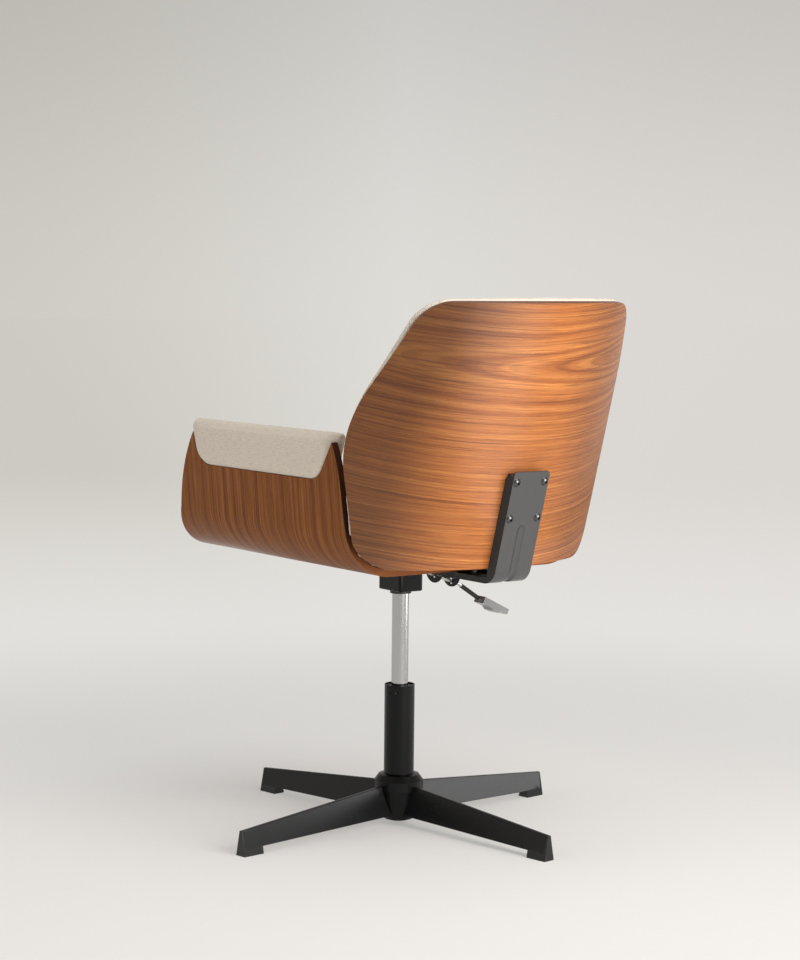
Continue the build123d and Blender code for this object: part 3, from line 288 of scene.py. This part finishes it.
def walnut(name, coordinates, rings, ring_pitch, sway, shine, roughness):
    """Oiled veneer. The coordinates give along, across, the tone with the back's painted shade, and
    the ply's edge and colour.
    """
    made, tree, surface = material(name, WALNUT_MID)
    along, across, shade, edge, rim = coordinates(tree)
    drift = minus(tree, streaks(tree, along, across, DRIFT, 0.0, 2.0), 0.5)
    ripple = minus(tree, streaks(tree, along, across, RIPPLE, 4.0), 0.5)
    moved = plus(tree, across, times(tree, drift, sway))
    moved = plus(tree, moved, times(tree, ripple, RIPPLE_SWAY))
    ring = maths(tree, "DIVIDE", rings(tree, along, moved), ring_pitch)
    # Each ring darkens slowly to its late wood, a thin line; no two rings are alike.
    late = smooth_step(tree, maths(tree, "FRACT", ring), *LATE_WOOD)
    tone = noise(tree, combine(tree, 0.0, times(tree, ring, RING_CHANGE), 2.0), 1.0, 3.0, 0.65)
    figure = ramp(tree, tone, FIGURE_STOPS)
    run = times(tree, along, WEIGHT_CHANGE)
    weight = noise(tree, combine(tree, run, maths(tree, "FLOOR", ring), 9.0), 1.0)
    weight = times(tree, smooth_step(tree, weight, *LATE_WEIGHTS), LATE_DARK)
    figure = darkened(tree, figure, late, weight)
    fibre = streaks(tree, along, moved, FIBRE, 1.0, 4.0)
    figure = mix(tree, 1.0, figure, ramp(tree, fibre, GRAIN_STOPS), "MULTIPLY")
    line = smooth_step(tree, streaks(tree, along, moved, LINE, 3.0, 2.0), *LINE_BAND)
    figure = darkened(tree, figure, line, LINE_DARK)
    pore = smooth_step(tree, streaks(tree, along, moved, PORE, 7.0, 2.0), *PORE_BAND)
    figure = darkened(tree, figure, pore, PORE_DARK)
    # The tone multiplies in; on the back it is painted shade towards both sides.
    figure = mix(tree, 1.0, figure, combine(tree, shade, shade, shade), "MULTIPLY")
    # The fibres run round the column, so their shine spreads up and down.
    round_column = add(tree, "ShaderNodeTangent", direction_type="RADIAL", axis="Z").outputs[0]
    feed(tree, surface, {
        "Base Color": mix(tree, edge, figure, rim),
        "Roughness": spread(tree, fibre, roughness - FIBRE_ROUGH, roughness + FIBRE_ROUGH),
        "Tangent": round_column,
        "Anisotropic": FIBRE_SPREAD,
        "Anisotropic Rotation": QUARTER_TURN,
        "Specular IOR Level": shine,
        "Normal": bump(tree, minus(tree, fibre, pore), FIBRE_RELIEF, FIBRE_HEIGHT),
    })
    return made


def ply_edge(tree, layer, dark, light):
    """Veneers seen edge on, in thin stripes."""
    stripe = maths(tree, "PINGPONG", layer, VENEER)
    return mix(tree, smooth_step(tree, stripe, 0.2 * VENEER, 0.8 * VENEER), dark, light)


def back_coordinates(tree):
    """Unrolled leaning cylinder: the grain runs round it."""
    _, x, y, z = object_place(tree)
    rear = times(tree, minus(tree, z, BACK_REAR_LEVEL), math.tan(BACK_LEAN))
    out = minus(tree, minus(tree, y, rear), BACK_AXIS_Y)
    out = times(tree, out, math.cos(BACK_LEAN))
    along = times(tree, maths(tree, "ARCTAN2", x, out), BACK_RADIUS)
    up = times(tree, z, math.cos(BACK_LEAN))
    back = times(tree, minus(tree, y, BACK_REAR + COLUMN_Y), math.sin(BACK_LEAN))
    across = plus(tree, up, back)
    # Painted shade: the back darkens towards both sides, and on the left it leans inwards above its
    # level.
    slant = times(tree, minus(tree, z, BACK_SLANT_LEVEL), BACK_SLANT)
    leftward = plus(tree, along, maths(tree, "MAXIMUM", slant, 0.0))
    left = smooth_step(tree, leftward, *BACK_LEFT, 1.0, BACK_LEFT_SHADE)
    right = smooth_step(tree, along, *BACK_RIGHT, 1.0, BACK_RIGHT_SHADE)
    depth = minus(tree, BACK_RADIUS, maths(tree, "SQRT", squared_sum(tree, x, out)))
    begun = maths(tree, "GREATER_THAN", depth, PLY_EDGE_START)
    edge = times(tree, begun, maths(tree, "LESS_THAN", depth, PLY_EDGE_END))
    return along, across, times(tree, left, right), edge, ply_edge(tree, depth, PLY_DARK, PLY_LIGHT)


def shell_coordinates(tree):
    """The grain runs up one arm, across the seat and up the other."""
    _, x, y, z = object_place(tree)
    along = plus(tree, maths(tree, "ABSOLUTE", x), z)
    _, normal_y, normal_z = face_normal(tree)
    ends = maths(tree, "GREATER_THAN", maths(tree, "ABSOLUTE", normal_y), CUT_FACE)
    tops = maths(tree, "GREATER_THAN", maths(tree, "ABSOLUTE", normal_z), CUT_FACE)
    tops = times(tree, tops, maths(tree, "GREATER_THAN", z, ARM_EDGE_LEVEL))
    # Painted shade: the arms' cut edges darken above the seat, where the back shades them.
    rim = mix(tree, smooth_step(tree, z, *SHELL_EDGE_SHADE), PLY_DARK, PLY_LOW)
    return along, y, SHELL_TONE, maths(tree, "MAXIMUM", ends, tops), rim


def arched_rings(tree, along, across):
    """Growth rings cut nearly flat: long arches about one line, straight lines away from it."""
    off = minus(tree, across, ARCH_LEVEL)
    deep = plus(tree, times(tree, along, ARCH_GROWTH), ARCH_DEPTH)
    return maths(tree, "SQRT", squared_sum(tree, off, deep))


def straight_rings(tree, along, across):
    return plus(tree, across, times(tree, along, SHELL_SLOPE))


# Fabric, steel, plastic and rubber

FABRIC_LIGHT = (0.800, 0.712, 0.605)
FABRIC_DARK = (0.600, 0.520, 0.425)
FABRIC_STOPS = ((0.34, FABRIC_DARK), (0.58, FABRIC_LIGHT))
# How fine the weave's threads, its slubs along and across a thread, and its flecks are, per metre
THREADS, SLUB_ALONG, SLUB_ACROSS, FLECKS = 5200.0, 70.0, 900.0, 620.0
SLUB_SHARE, FLECK_SHARE, WEAVE_SHARE = 0.6, 0.4, 0.35
FABRIC_SLOPE = 0.4
FABRIC_RELIEF, FABRIC_HEIGHT = 0.55, 0.0007
# The fine skin of a coat, and the broader wear in how it shines
SKIN_SCALE, SKIN_HEIGHT, WEAR_SCALE = 900.0, 0.0003, 18.0
PLATE_WEAR = 0.03
# Where a plate's sides start and are full of their painted shade, and the near-black colour painted
# there
PLATE_SIDES = (0.70, 0.95)
PLATE_SIDE_SHADE = (0.001, 0.001, 0.001)
# Drawn steel: fine streaks round a bar and long ones down it
DRAWN_ROUND, DRAWN_DOWN = 1800.0, 12.0
DRAWN_SMOOTH, DRAWN_COARSE = 0.05, 0.06


def fabric():
    """Plain linen weave with slubs along its length."""
    made, tree, surface = material("oatmeal_fabric", FABRIC_LIGHT)
    place, x, y, z = object_place(tree)
    up = minus(tree, z, times(tree, x, FABRIC_SLOPE))
    warp = maths(tree, "SINE", times(tree, y, THREADS))
    weft = maths(tree, "SINE", times(tree, plus(tree, up, x), THREADS))
    weave = times(tree, warp, weft)
    run = times(tree, plus(tree, x, y), SLUB_ALONG)
    slub = noise(tree, combine(tree, run, times(tree, up, SLUB_ACROSS), 0.0), 1.0, 3.0, 0.6)
    fleck = noise(tree, place, FLECKS, 2.0, 0.6)
    blend = plus(tree, times(tree, slub, SLUB_SHARE), times(tree, fleck, FLECK_SHARE))
    height = plus(tree, times(tree, weave, WEAVE_SHARE), blend)
    feed(tree, surface, {
        "Base Color": ramp(tree, blend, FABRIC_STOPS),
        "Normal": bump(tree, height, FABRIC_RELIEF, FABRIC_HEIGHT),
        "Roughness": 0.92,
        "Specular IOR Level": 0.2,
        "Sheen Weight": 0.12,
        "Sheen Roughness": 0.5,
    })
    return made


def coated(name, colour, gloss, rough_low, rough_high, skin):
    """A dark coat or moulding with a fine skin."""
    made, tree, surface = material(name, colour)
    place = object_place(tree)[0]
    feed(tree, surface, {
        "IOR": gloss,
        "Roughness": spread(tree, noise(tree, place, WEAR_SCALE), rough_low, rough_high),
        "Normal": bump(tree, noise(tree, place, SKIN_SCALE, 0.0), skin, SKIN_HEIGHT),
    })
    return made


def plate(name, colour, gloss, rough, rough_sides):
    """Coated steel strip: smooth on its face, and matt and darkened with painted shade on its sides.
    """
    made, tree, surface = material(name, colour)
    # The sides facing across are matt, and their colour is darkened with painted shade.
    side = smooth_step(tree, maths(tree, "ABSOLUTE", face_normal(tree)[0]), *PLATE_SIDES)
    worn = noise(tree, object_place(tree)[0], WEAR_SCALE)
    face = spread(tree, worn, rough - PLATE_WEAR, rough + PLATE_WEAR)
    feed(tree, surface, {
        "IOR": gloss,
        "Roughness": spread(tree, side, face, rough_sides),
        "Base Color": mix(tree, side, colour, PLATE_SIDE_SHADE),
    })
    return made


def metal(name, colour, rough):
    """Bare steel, drawn along its height."""
    made, tree, surface = material(name, colour)
    _, x, y, z = object_place(tree)
    drawn = combine(tree, times(tree, x, DRAWN_ROUND), times(tree, y, DRAWN_ROUND),
                    times(tree, z, DRAWN_DOWN))
    streak = noise(tree, drawn, 1.0)
    feed(tree, surface, {
        "Roughness": spread(tree, streak, rough - DRAWN_SMOOTH, rough + DRAWN_COARSE),
        "Metallic": 1.0,
    })
    return made


# Which piece has which material. A coat is given its colour, its gloss, how rough it is at its
# smoothest and its coarsest, and how strong its skin is.

FABRIC = fabric()
SLOT_MATERIALS = {
    "upholstery": FABRIC,
    "black_steel": coated("black_coat", (0.002, 0.002, 0.0021), 1.30, 0.22, 0.30, 0.015),
    "black_plastic": coated("black_plastic", (0.005, 0.005, 0.0053), 1.50, 0.30, 0.38, 0.03),
    "black_screws": coated("black_oxide", (0.004, 0.004, 0.0044), 2.0, 0.12, 0.18, 0.01),
    "rubber": coated("rubber", (0.020, 0.020, 0.021), 1.5, 0.70, 0.82, 0.10),
    "chrome": metal("satin_chrome", (0.46, 0.465, 0.465), 0.15),
    "bright_steel": metal("bright_steel", (0.58, 0.58, 0.57), 0.30),
}
SHEET = coated("black_sheet", (0.006, 0.006, 0.0062), 1.38, 0.22, 0.30, 0.015)
LEG_NODES = ("leg_left", "leg_back", "leg_right", "leg_front")
NODE_MATERIALS = {
    "back_bracket": plate("grey_black_plate", (0.030, 0.030, 0.0305), 1.95, 0.31, 0.95),
    "lever_handle": coated("grey_plastic", (0.200, 0.200, 0.202), 2.0, 0.12, 0.18, 0.01),
    **dict.fromkeys(LEG_NODES, SHEET),
    "back_shell": walnut("walnut_back", back_coordinates, arched_rings,
                         BACK_RINGS, BACK_WANDER, BACK_SHINE, BACK_ROUGH),
    "seat_shell": walnut("walnut_shell", shell_coordinates, straight_rings,
                         SHELL_RINGS, SHELL_WANDER, SHELL_SHINE, SHELL_ROUGH),
}
PLASTIC_NODES = ("hub_plug", "guide_bush", "taper_bush", "lever_sleeve", "back_spacers")
STEEL_NODES = ("hub", "stand_tube", "lift_socket", "seat_plate", "lever_guide")
SCREW_NODES = ("seat_bolts", "back_bolts", "bracket_bolts")
SOFT_NODES = ("seat_cushion", "arm_pad_left", "arm_pad_right", "back_pad")


def slot_of(name):
    if name in PLASTIC_NODES or name.startswith("foot_"):
        return "black_plastic"
    if name in STEEL_NODES:
        return "black_steel"
    if name in SCREW_NODES:
        return "black_screws"
    if name in SOFT_NODES:
        return "upholstery"
    if name == "rubber_buffer":
        return "rubber"
    if name == "gas_cylinder":
        return "chrome"
    return "bright_steel"


for name, node in nodes.items():
    node.data.materials.clear()
    node.data.materials.append(NODE_MATERIALS.get(name) or SLOT_MATERIALS[slot_of(name)])


# Broken edges on the hard pieces, so that they catch the light: each width by the start of the name

EDGES = {"leg_": 0.0026, "foot_": 0.0010, "back_bracket": 0.0012, "lift_socket": 0.0010,
         "lever_guide": 0.0006, "seat_plate": 0.0008}
EDGE_ANGLE = math.radians(35)
EDGE_SEGMENTS = 3
WELD = 1e-5


def broken_edges(node, width):
    weld = node.modifiers.new("weld", "WELD")
    weld.merge_threshold = WELD
    edge = node.modifiers.new("edge", "BEVEL")
    edge.width = width
    edge.segments = EDGE_SEGMENTS
    edge.limit_method = "ANGLE"
    edge.angle_limit = EDGE_ANGLE
    edge.harden_normals = True


for name, node in nodes.items():
    for start, width in EDGES.items():
        if name.startswith(start):
            broken_edges(node, width)


# Soft pieces: each starts as an evenly meshed copy of its solid, swells a little as cloth, and is
# brought back to the solid's outline

SOFTEN, SOFTEN_TIMES = 0.5, 2
CLOTH_QUALITY, CLOTH_MASS, CLOTH_STEPS = 4, 0.3, 20
# How near the wood a cover is held, and how far from it it moves freely
HELD, FREE = 0.0015, 0.012
# How deep under its solid's surface a cover may lie
OUTLINE_SLACK = 0.0004
# The back cover's rim stands proud of the wood at the top and at the lower sides: the levels where
# each starts and is full, and by how much
RIM_TOP_LEVELS, RIM_TOP = (0.66, 0.80), 0.0014
RIM_LOW_LEVELS, RIM_LOW = (0.63, 0.55), 0.0045
RIM_GAP = 0.0005
# Stands for the length of a movement that is none
LEAST_LENGTH = 1e-9


def settled(piece):
    """Replace a piece's mesh by what its modifiers make of it."""
    graph = bpy.context.evaluated_depsgraph_get()
    shaped = bpy.data.meshes.new_from_object(piece.evaluated_get(graph))
    piece.modifiers.clear()
    piece.data = shaped


def places(piece):
    flat = np.empty(len(piece.data.vertices) * 3)
    piece.data.vertices.foreach_get("co", flat)
    return flat.reshape(-1, 3)


def set_places(piece, points):
    piece.data.vertices.foreach_set("co", points.ravel())
    piece.data.update()


def surface_tree(node):
    """A solid's surface, to find the nearest place on."""
    return BVHTree.FromObject(nodes[node], bpy.context.evaluated_depsgraph_get())


def meshed_copy(node, name, voxel):
    mesh = nodes[node].data.copy()
    mesh.name = name
    piece = bpy.data.objects.new(name, mesh)
    bpy.context.collection.objects.link(piece)
    shape = bmesh.new()
    shape.from_mesh(mesh)
    bmesh.ops.remove_doubles(shape, verts=shape.verts, dist=WELD)
    shape.to_mesh(mesh)
    shape.free()
    remesh = piece.modifiers.new("even", "REMESH")
    remesh.mode = "VOXEL"
    remesh.voxel_size = voxel
    smooth = piece.modifiers.new("soften", "SMOOTH")
    smooth.factor = SOFTEN
    smooth.iterations = SOFTEN_TIMES
    settled(piece)
    return piece


def freedom(piece, carrier):
    """How freely each vertex may move: none beside its carrier, all of it well away from that."""
    free = np.ones(len(piece.data.vertices))
    tree = surface_tree(carrier)
    for index, vertex in enumerate(piece.data.vertices):
        near, _, _, away = tree.find_nearest(vertex.co, FREE)
        if near is not None:
            free[index] = min(1.0, max(0.0, (away - HELD) / (FREE - HELD)))
    return free


def swell(piece, free, pressure, cap):
    """Inflate the piece as cloth and keep a capped part of the movement."""
    start = places(piece)
    cloth = piece.modifiers.new("fill", "CLOTH")
    cloth.settings.quality = CLOTH_QUALITY
    cloth.settings.mass = CLOTH_MASS
    cloth.settings.use_pressure = True
    cloth.settings.uniform_pressure_force = pressure
    cloth.settings.effector_weights.gravity = 0.0
    scene = bpy.context.scene
    for step in range(1, CLOTH_STEPS + 1):
        scene.frame_set(step)
    settled(piece)
    scene.frame_set(1)
    moved = (places(piece) - start) * free[:, None]
    length = np.linalg.norm(moved, axis=1)
    kept = cap * np.tanh(length / cap)
    set_places(piece, start + moved * (kept / np.maximum(length, LEAST_LENGTH))[:, None])


def filled(piece, node):
    """Bring back what meshing and smoothing took off the solid's outline."""
    tree = surface_tree(node)
    points = places(piece)
    for index, point in enumerate(points):
        near, normal, _, away = tree.find_nearest(Vector(point))
        if away > OUTLINE_SLACK and (Vector(point) - near).dot(normal) < 0.0:
            points[index] = near - normal * OUTLINE_SLACK
    set_places(piece, points)


def back_normal(point):
    """Which way the back's leaning cylinder faces at a point."""
    rear = (point.z - BACK_REAR_LEVEL) * math.tan(BACK_LEAN)
    out = (point.y - rear - BACK_AXIS_Y) * math.cos(BACK_LEAN)
    facing = Vector((point.x, out * math.cos(BACK_LEAN), -out * math.sin(BACK_LEAN)))
    return facing.normalized()


def share_of_way(value, levels):
    start, full = levels
    return min(1.0, max(0.0, (value - start) / (full - start)))


def rolled(piece):
    """The back's cover rolls over the wood's edge, and stays clear of the seat shell."""
    points = places(piece)
    shell = surface_tree("seat_shell")
    for index, vertex in enumerate(piece.data.vertices):
        facing = back_normal(vertex.co)
        sideways = vertex.normal - facing * vertex.normal.dot(facing)
        proud = RIM_TOP * share_of_way(vertex.co.z, RIM_TOP_LEVELS)
        proud += RIM_LOW * share_of_way(vertex.co.z, RIM_LOW_LEVELS)
        room = shell.find_nearest(vertex.co)[3] - RIM_GAP
        points[index] += np.array(sideways * (max(0.0, min(proud, room)) * sideways.length))
    set_places(piece, points)


def soft_piece(node, name, body, carrier, voxel, pressure, cap, finish=None):
    """A cover that stands for its solid: its mesh's pitch, its inside pressure and its most swell."""
    piece = meshed_copy(node, name, voxel)
    swell(piece, freedom(piece, carrier), pressure, cap)
    filled(piece, node)
    finer = piece.modifiers.new("finer", "SUBSURF")
    finer.levels = 1
    finer.render_levels = 1
    settled(piece)
    if finish:
        finish(piece)
    for face in piece.data.polygons:
        face.use_smooth = True
    piece.data.materials.clear()
    piece.data.materials.append(FABRIC)
    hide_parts(node)
    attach(piece, body)


soft_piece("seat_cushion", "cushion_cover", "seat", "seat_shell", 0.0055, 4.0, 0.007)
soft_piece("back_pad", "back_cover", "seat", "back_shell", 0.0045, 4.0, 0.006, rolled)
soft_piece("arm_pad_left", "arm_cover_left", "seat", "seat_shell", 0.0035, 3.0, 0.003)
soft_piece("arm_pad_right", "arm_cover_right", "seat", "seat_shell", 0.0035, 3.0, 0.003)


# Studio: a pale floor that runs out into a pale world. A large key lamp stands at the photo's right,
# with a softer one overhead, a weak fill at the left and a card for the metal.

FLOOR_COLOUR = (0.850, 0.836, 0.815)
FLOOR_GLOW = (0.790, 0.772, 0.745)
FLOOR_RADIUS, FLOOR_CORNERS = 40.0, 96
# How far from the column the floor turns from lit to plain glow, from its least share of glow, and
# how far out the glow turns to the backdrop's colour
GLOW_REACH, GLOW_LEAST = (0.5, 2.4), 0.42
BLEND_REACH = (0.8, 7.5)
BACKDROP_LEFT = (0.610, 0.588, 0.540)
BACKDROP_MIDDLE = (0.735, 0.718, 0.685)
BACKDROP_RIGHT = (0.700, 0.672, 0.645)
BACKDROP_STOPS = ((0.0, BACKDROP_LEFT), (0.5, BACKDROP_MIDDLE), (1.0, BACKDROP_RIGHT))
BACKDROP_WIDTH = 0.22
# The backdrop dims from the horizon up, between these heights of a ray.
HIGH_SHADE = 0.78
HIGH_RISE = (-0.02, 0.16)
# The world's light grows from dim to bright between these shares of the way to its bright side.
WORLD_DIM = (0.20, 0.199, 0.197)
WORLD_BRIGHT = (0.45, 0.445, 0.44)
WORLD_SIDE = (0.15, 0.95)
WORLD_BRIGHT_SIDE = studio_direction(1.0, -0.25, 0.0)
# What the lamps face, and the pieces that show the white card
MIDDLE = studio(0.0, 0.0, 0.55)
CARD_NODES = ("hub", "stand_tube", "lift_socket", "gas_cylinder", "lever_handle", "lever_rod",
              *LEG_NODES)


def backdrop(tree, place):
    """The backdrop's colour, from the left of the photo to its right."""
    ahead = add(tree, "ShaderNodeVectorMath", {0: place}, operation="NORMALIZE").outputs[0]
    right = dot(tree, ahead, studio_direction(1.0, 0.0, 0.0))
    return ramp(tree, smooth_step(tree, right, -BACKDROP_WIDTH, BACKDROP_WIDTH), BACKDROP_STOPS)


def seen_plainly(tree):
    """Rays that see the pale surroundings: the camera's, and those that shiny pieces send on."""
    path = add(tree, "ShaderNodeLightPath").outputs
    mirrored = maths(tree, "MAXIMUM", path["Is Glossy Ray"], path["Is Transmission Ray"])
    return maths(tree, "MAXIMUM", path["Is Camera Ray"], mirrored)


def blended(tree, share, first, second, output):
    """Put a blend of two shaders on the tree's output."""
    blend = add(tree, "ShaderNodeMixShader", {0: share, 1: first.outputs[0], 2: second.outputs[0]})
    tree.links.new(blend.outputs[0], tree.nodes[output].inputs["Surface"])


def floor():
    bpy.ops.mesh.primitive_circle_add(vertices=FLOOR_CORNERS, radius=FLOOR_RADIUS, fill_type="NGON",
                                      location=(0, COLUMN_Y, 0))
    ground = bpy.context.object
    ground.name = "studio_floor"
    made, tree, surface = material("studio_floor", FLOOR_COLOUR)
    feed(tree, surface, {"Roughness": 0.85, "Specular IOR Level": 0.2})
    place, x, y, _ = object_place(tree)
    away = maths(tree, "SQRT", squared_sum(tree, x, y))
    share = spread(tree, smooth_step(tree, away, *GLOW_REACH), GLOW_LEAST, 1.0)
    out = smooth_step(tree, away, *BLEND_REACH)
    colour = mix(tree, out, FLOOR_GLOW, backdrop(tree, place))
    glow = add(tree, "ShaderNodeEmission", {"Color": colour})
    blended(tree, times(tree, share, seen_plainly(tree)), surface, glow, "Material Output")
    ground.data.materials.append(made)


def world():
    """Bright at the photo's right and dim at its left; the camera sees the plain pale backdrop."""
    made = bpy.data.worlds.new("studio")
    bpy.context.scene.world = made
    made.use_nodes = True
    tree = made.node_tree
    direction = add(tree, "ShaderNodeTexCoord").outputs["Generated"]
    right = dot(tree, direction, WORLD_BRIGHT_SIDE)
    light = tree.nodes["Background"]
    side = smooth_step(tree, right, *WORLD_SIDE)
    feed(tree, light, {"Color": mix(tree, side, WORLD_DIM, WORLD_BRIGHT)})
    rise = smooth_step(tree, split(tree, direction)[2], *HIGH_RISE)
    shown = add(tree, "ShaderNodeBackground", {"Color": backdrop(tree, direction),
                                               "Strength": spread(tree, rise, 1.0, HIGH_SHADE)})
    blended(tree, seen_plainly(tree), light, shown, "World Output")


def lamp(name, place, size, power, colour):
    """A square-cornered lamp that faces the chair's middle."""
    light = bpy.data.lights.new(name, "AREA")
    light.shape = "RECTANGLE"
    light.size, light.size_y = size
    light.energy = power
    light.color = colour
    made = bpy.data.objects.new(name, light)
    bpy.context.collection.objects.link(made)
    made.location = place
    made.rotation_euler = (MIDDLE - place).to_track_quat("-Z", "Y").to_euler()
    return made


def lamps():
    lamp("key", studio(2.05, -2.25, 1.35), (2.4, 2.4), 112.0, (1.0, 0.985, 0.96))
    lamp("top", studio(0.5, -0.6, 3.0), (1.8, 1.8), 30.0, (1.0, 0.99, 0.975))
    fill = lamp("fill", studio(-2.6, -1.2, 1.3), (2.0, 2.0), 24.0, (1.0, 0.985, 0.965))
    fill.visible_glossy = False
    # A white card low at the right, which only the metal shows
    card = lamp("card", studio(2.65, 0.25, 0.60), (1.4, 1.2), 22.0, (1.0, 1.0, 1.0))
    card.visible_diffuse = False
    metal_pieces = bpy.data.collections.new("metal_pieces")
    for name in CARD_NODES:
        metal_pieces.objects.link(nodes[name])
    card.light_linking.receiver_collection = metal_pieces


def camera():
    data = bpy.data.cameras.new("photo_camera")
    data.lens = CAMERA_LENS
    data.sensor_width = CAMERA_SENSOR
    data.clip_end = CAMERA_SIGHT
    made = bpy.data.objects.new("photo_camera", data)
    bpy.context.collection.objects.link(made)
    bpy.context.scene.camera = made
    ahead = studio_direction(math.sin(CAMERA_YAW) * math.cos(CAMERA_PITCH),
                             math.cos(CAMERA_YAW) * math.cos(CAMERA_PITCH), -math.sin(CAMERA_PITCH))
    right = studio_direction(math.cos(CAMERA_YAW), -math.sin(CAMERA_YAW), 0.0)
    up = right.cross(ahead)
    cos, sin = math.cos(CAMERA_ROLL), math.sin(CAMERA_ROLL)
    axes = Matrix((right * cos + up * sin, up * cos - right * sin, -ahead)).transposed()
    place = Matrix.Translation(studio(0.0, -CAMERA_DISTANCE, CAMERA_HEIGHT))
    made.matrix_world = place @ axes.to_4x4()


floor()
world()
camera()
lamps()
bpy.context.scene.view_settings.view_transform = "Standard"
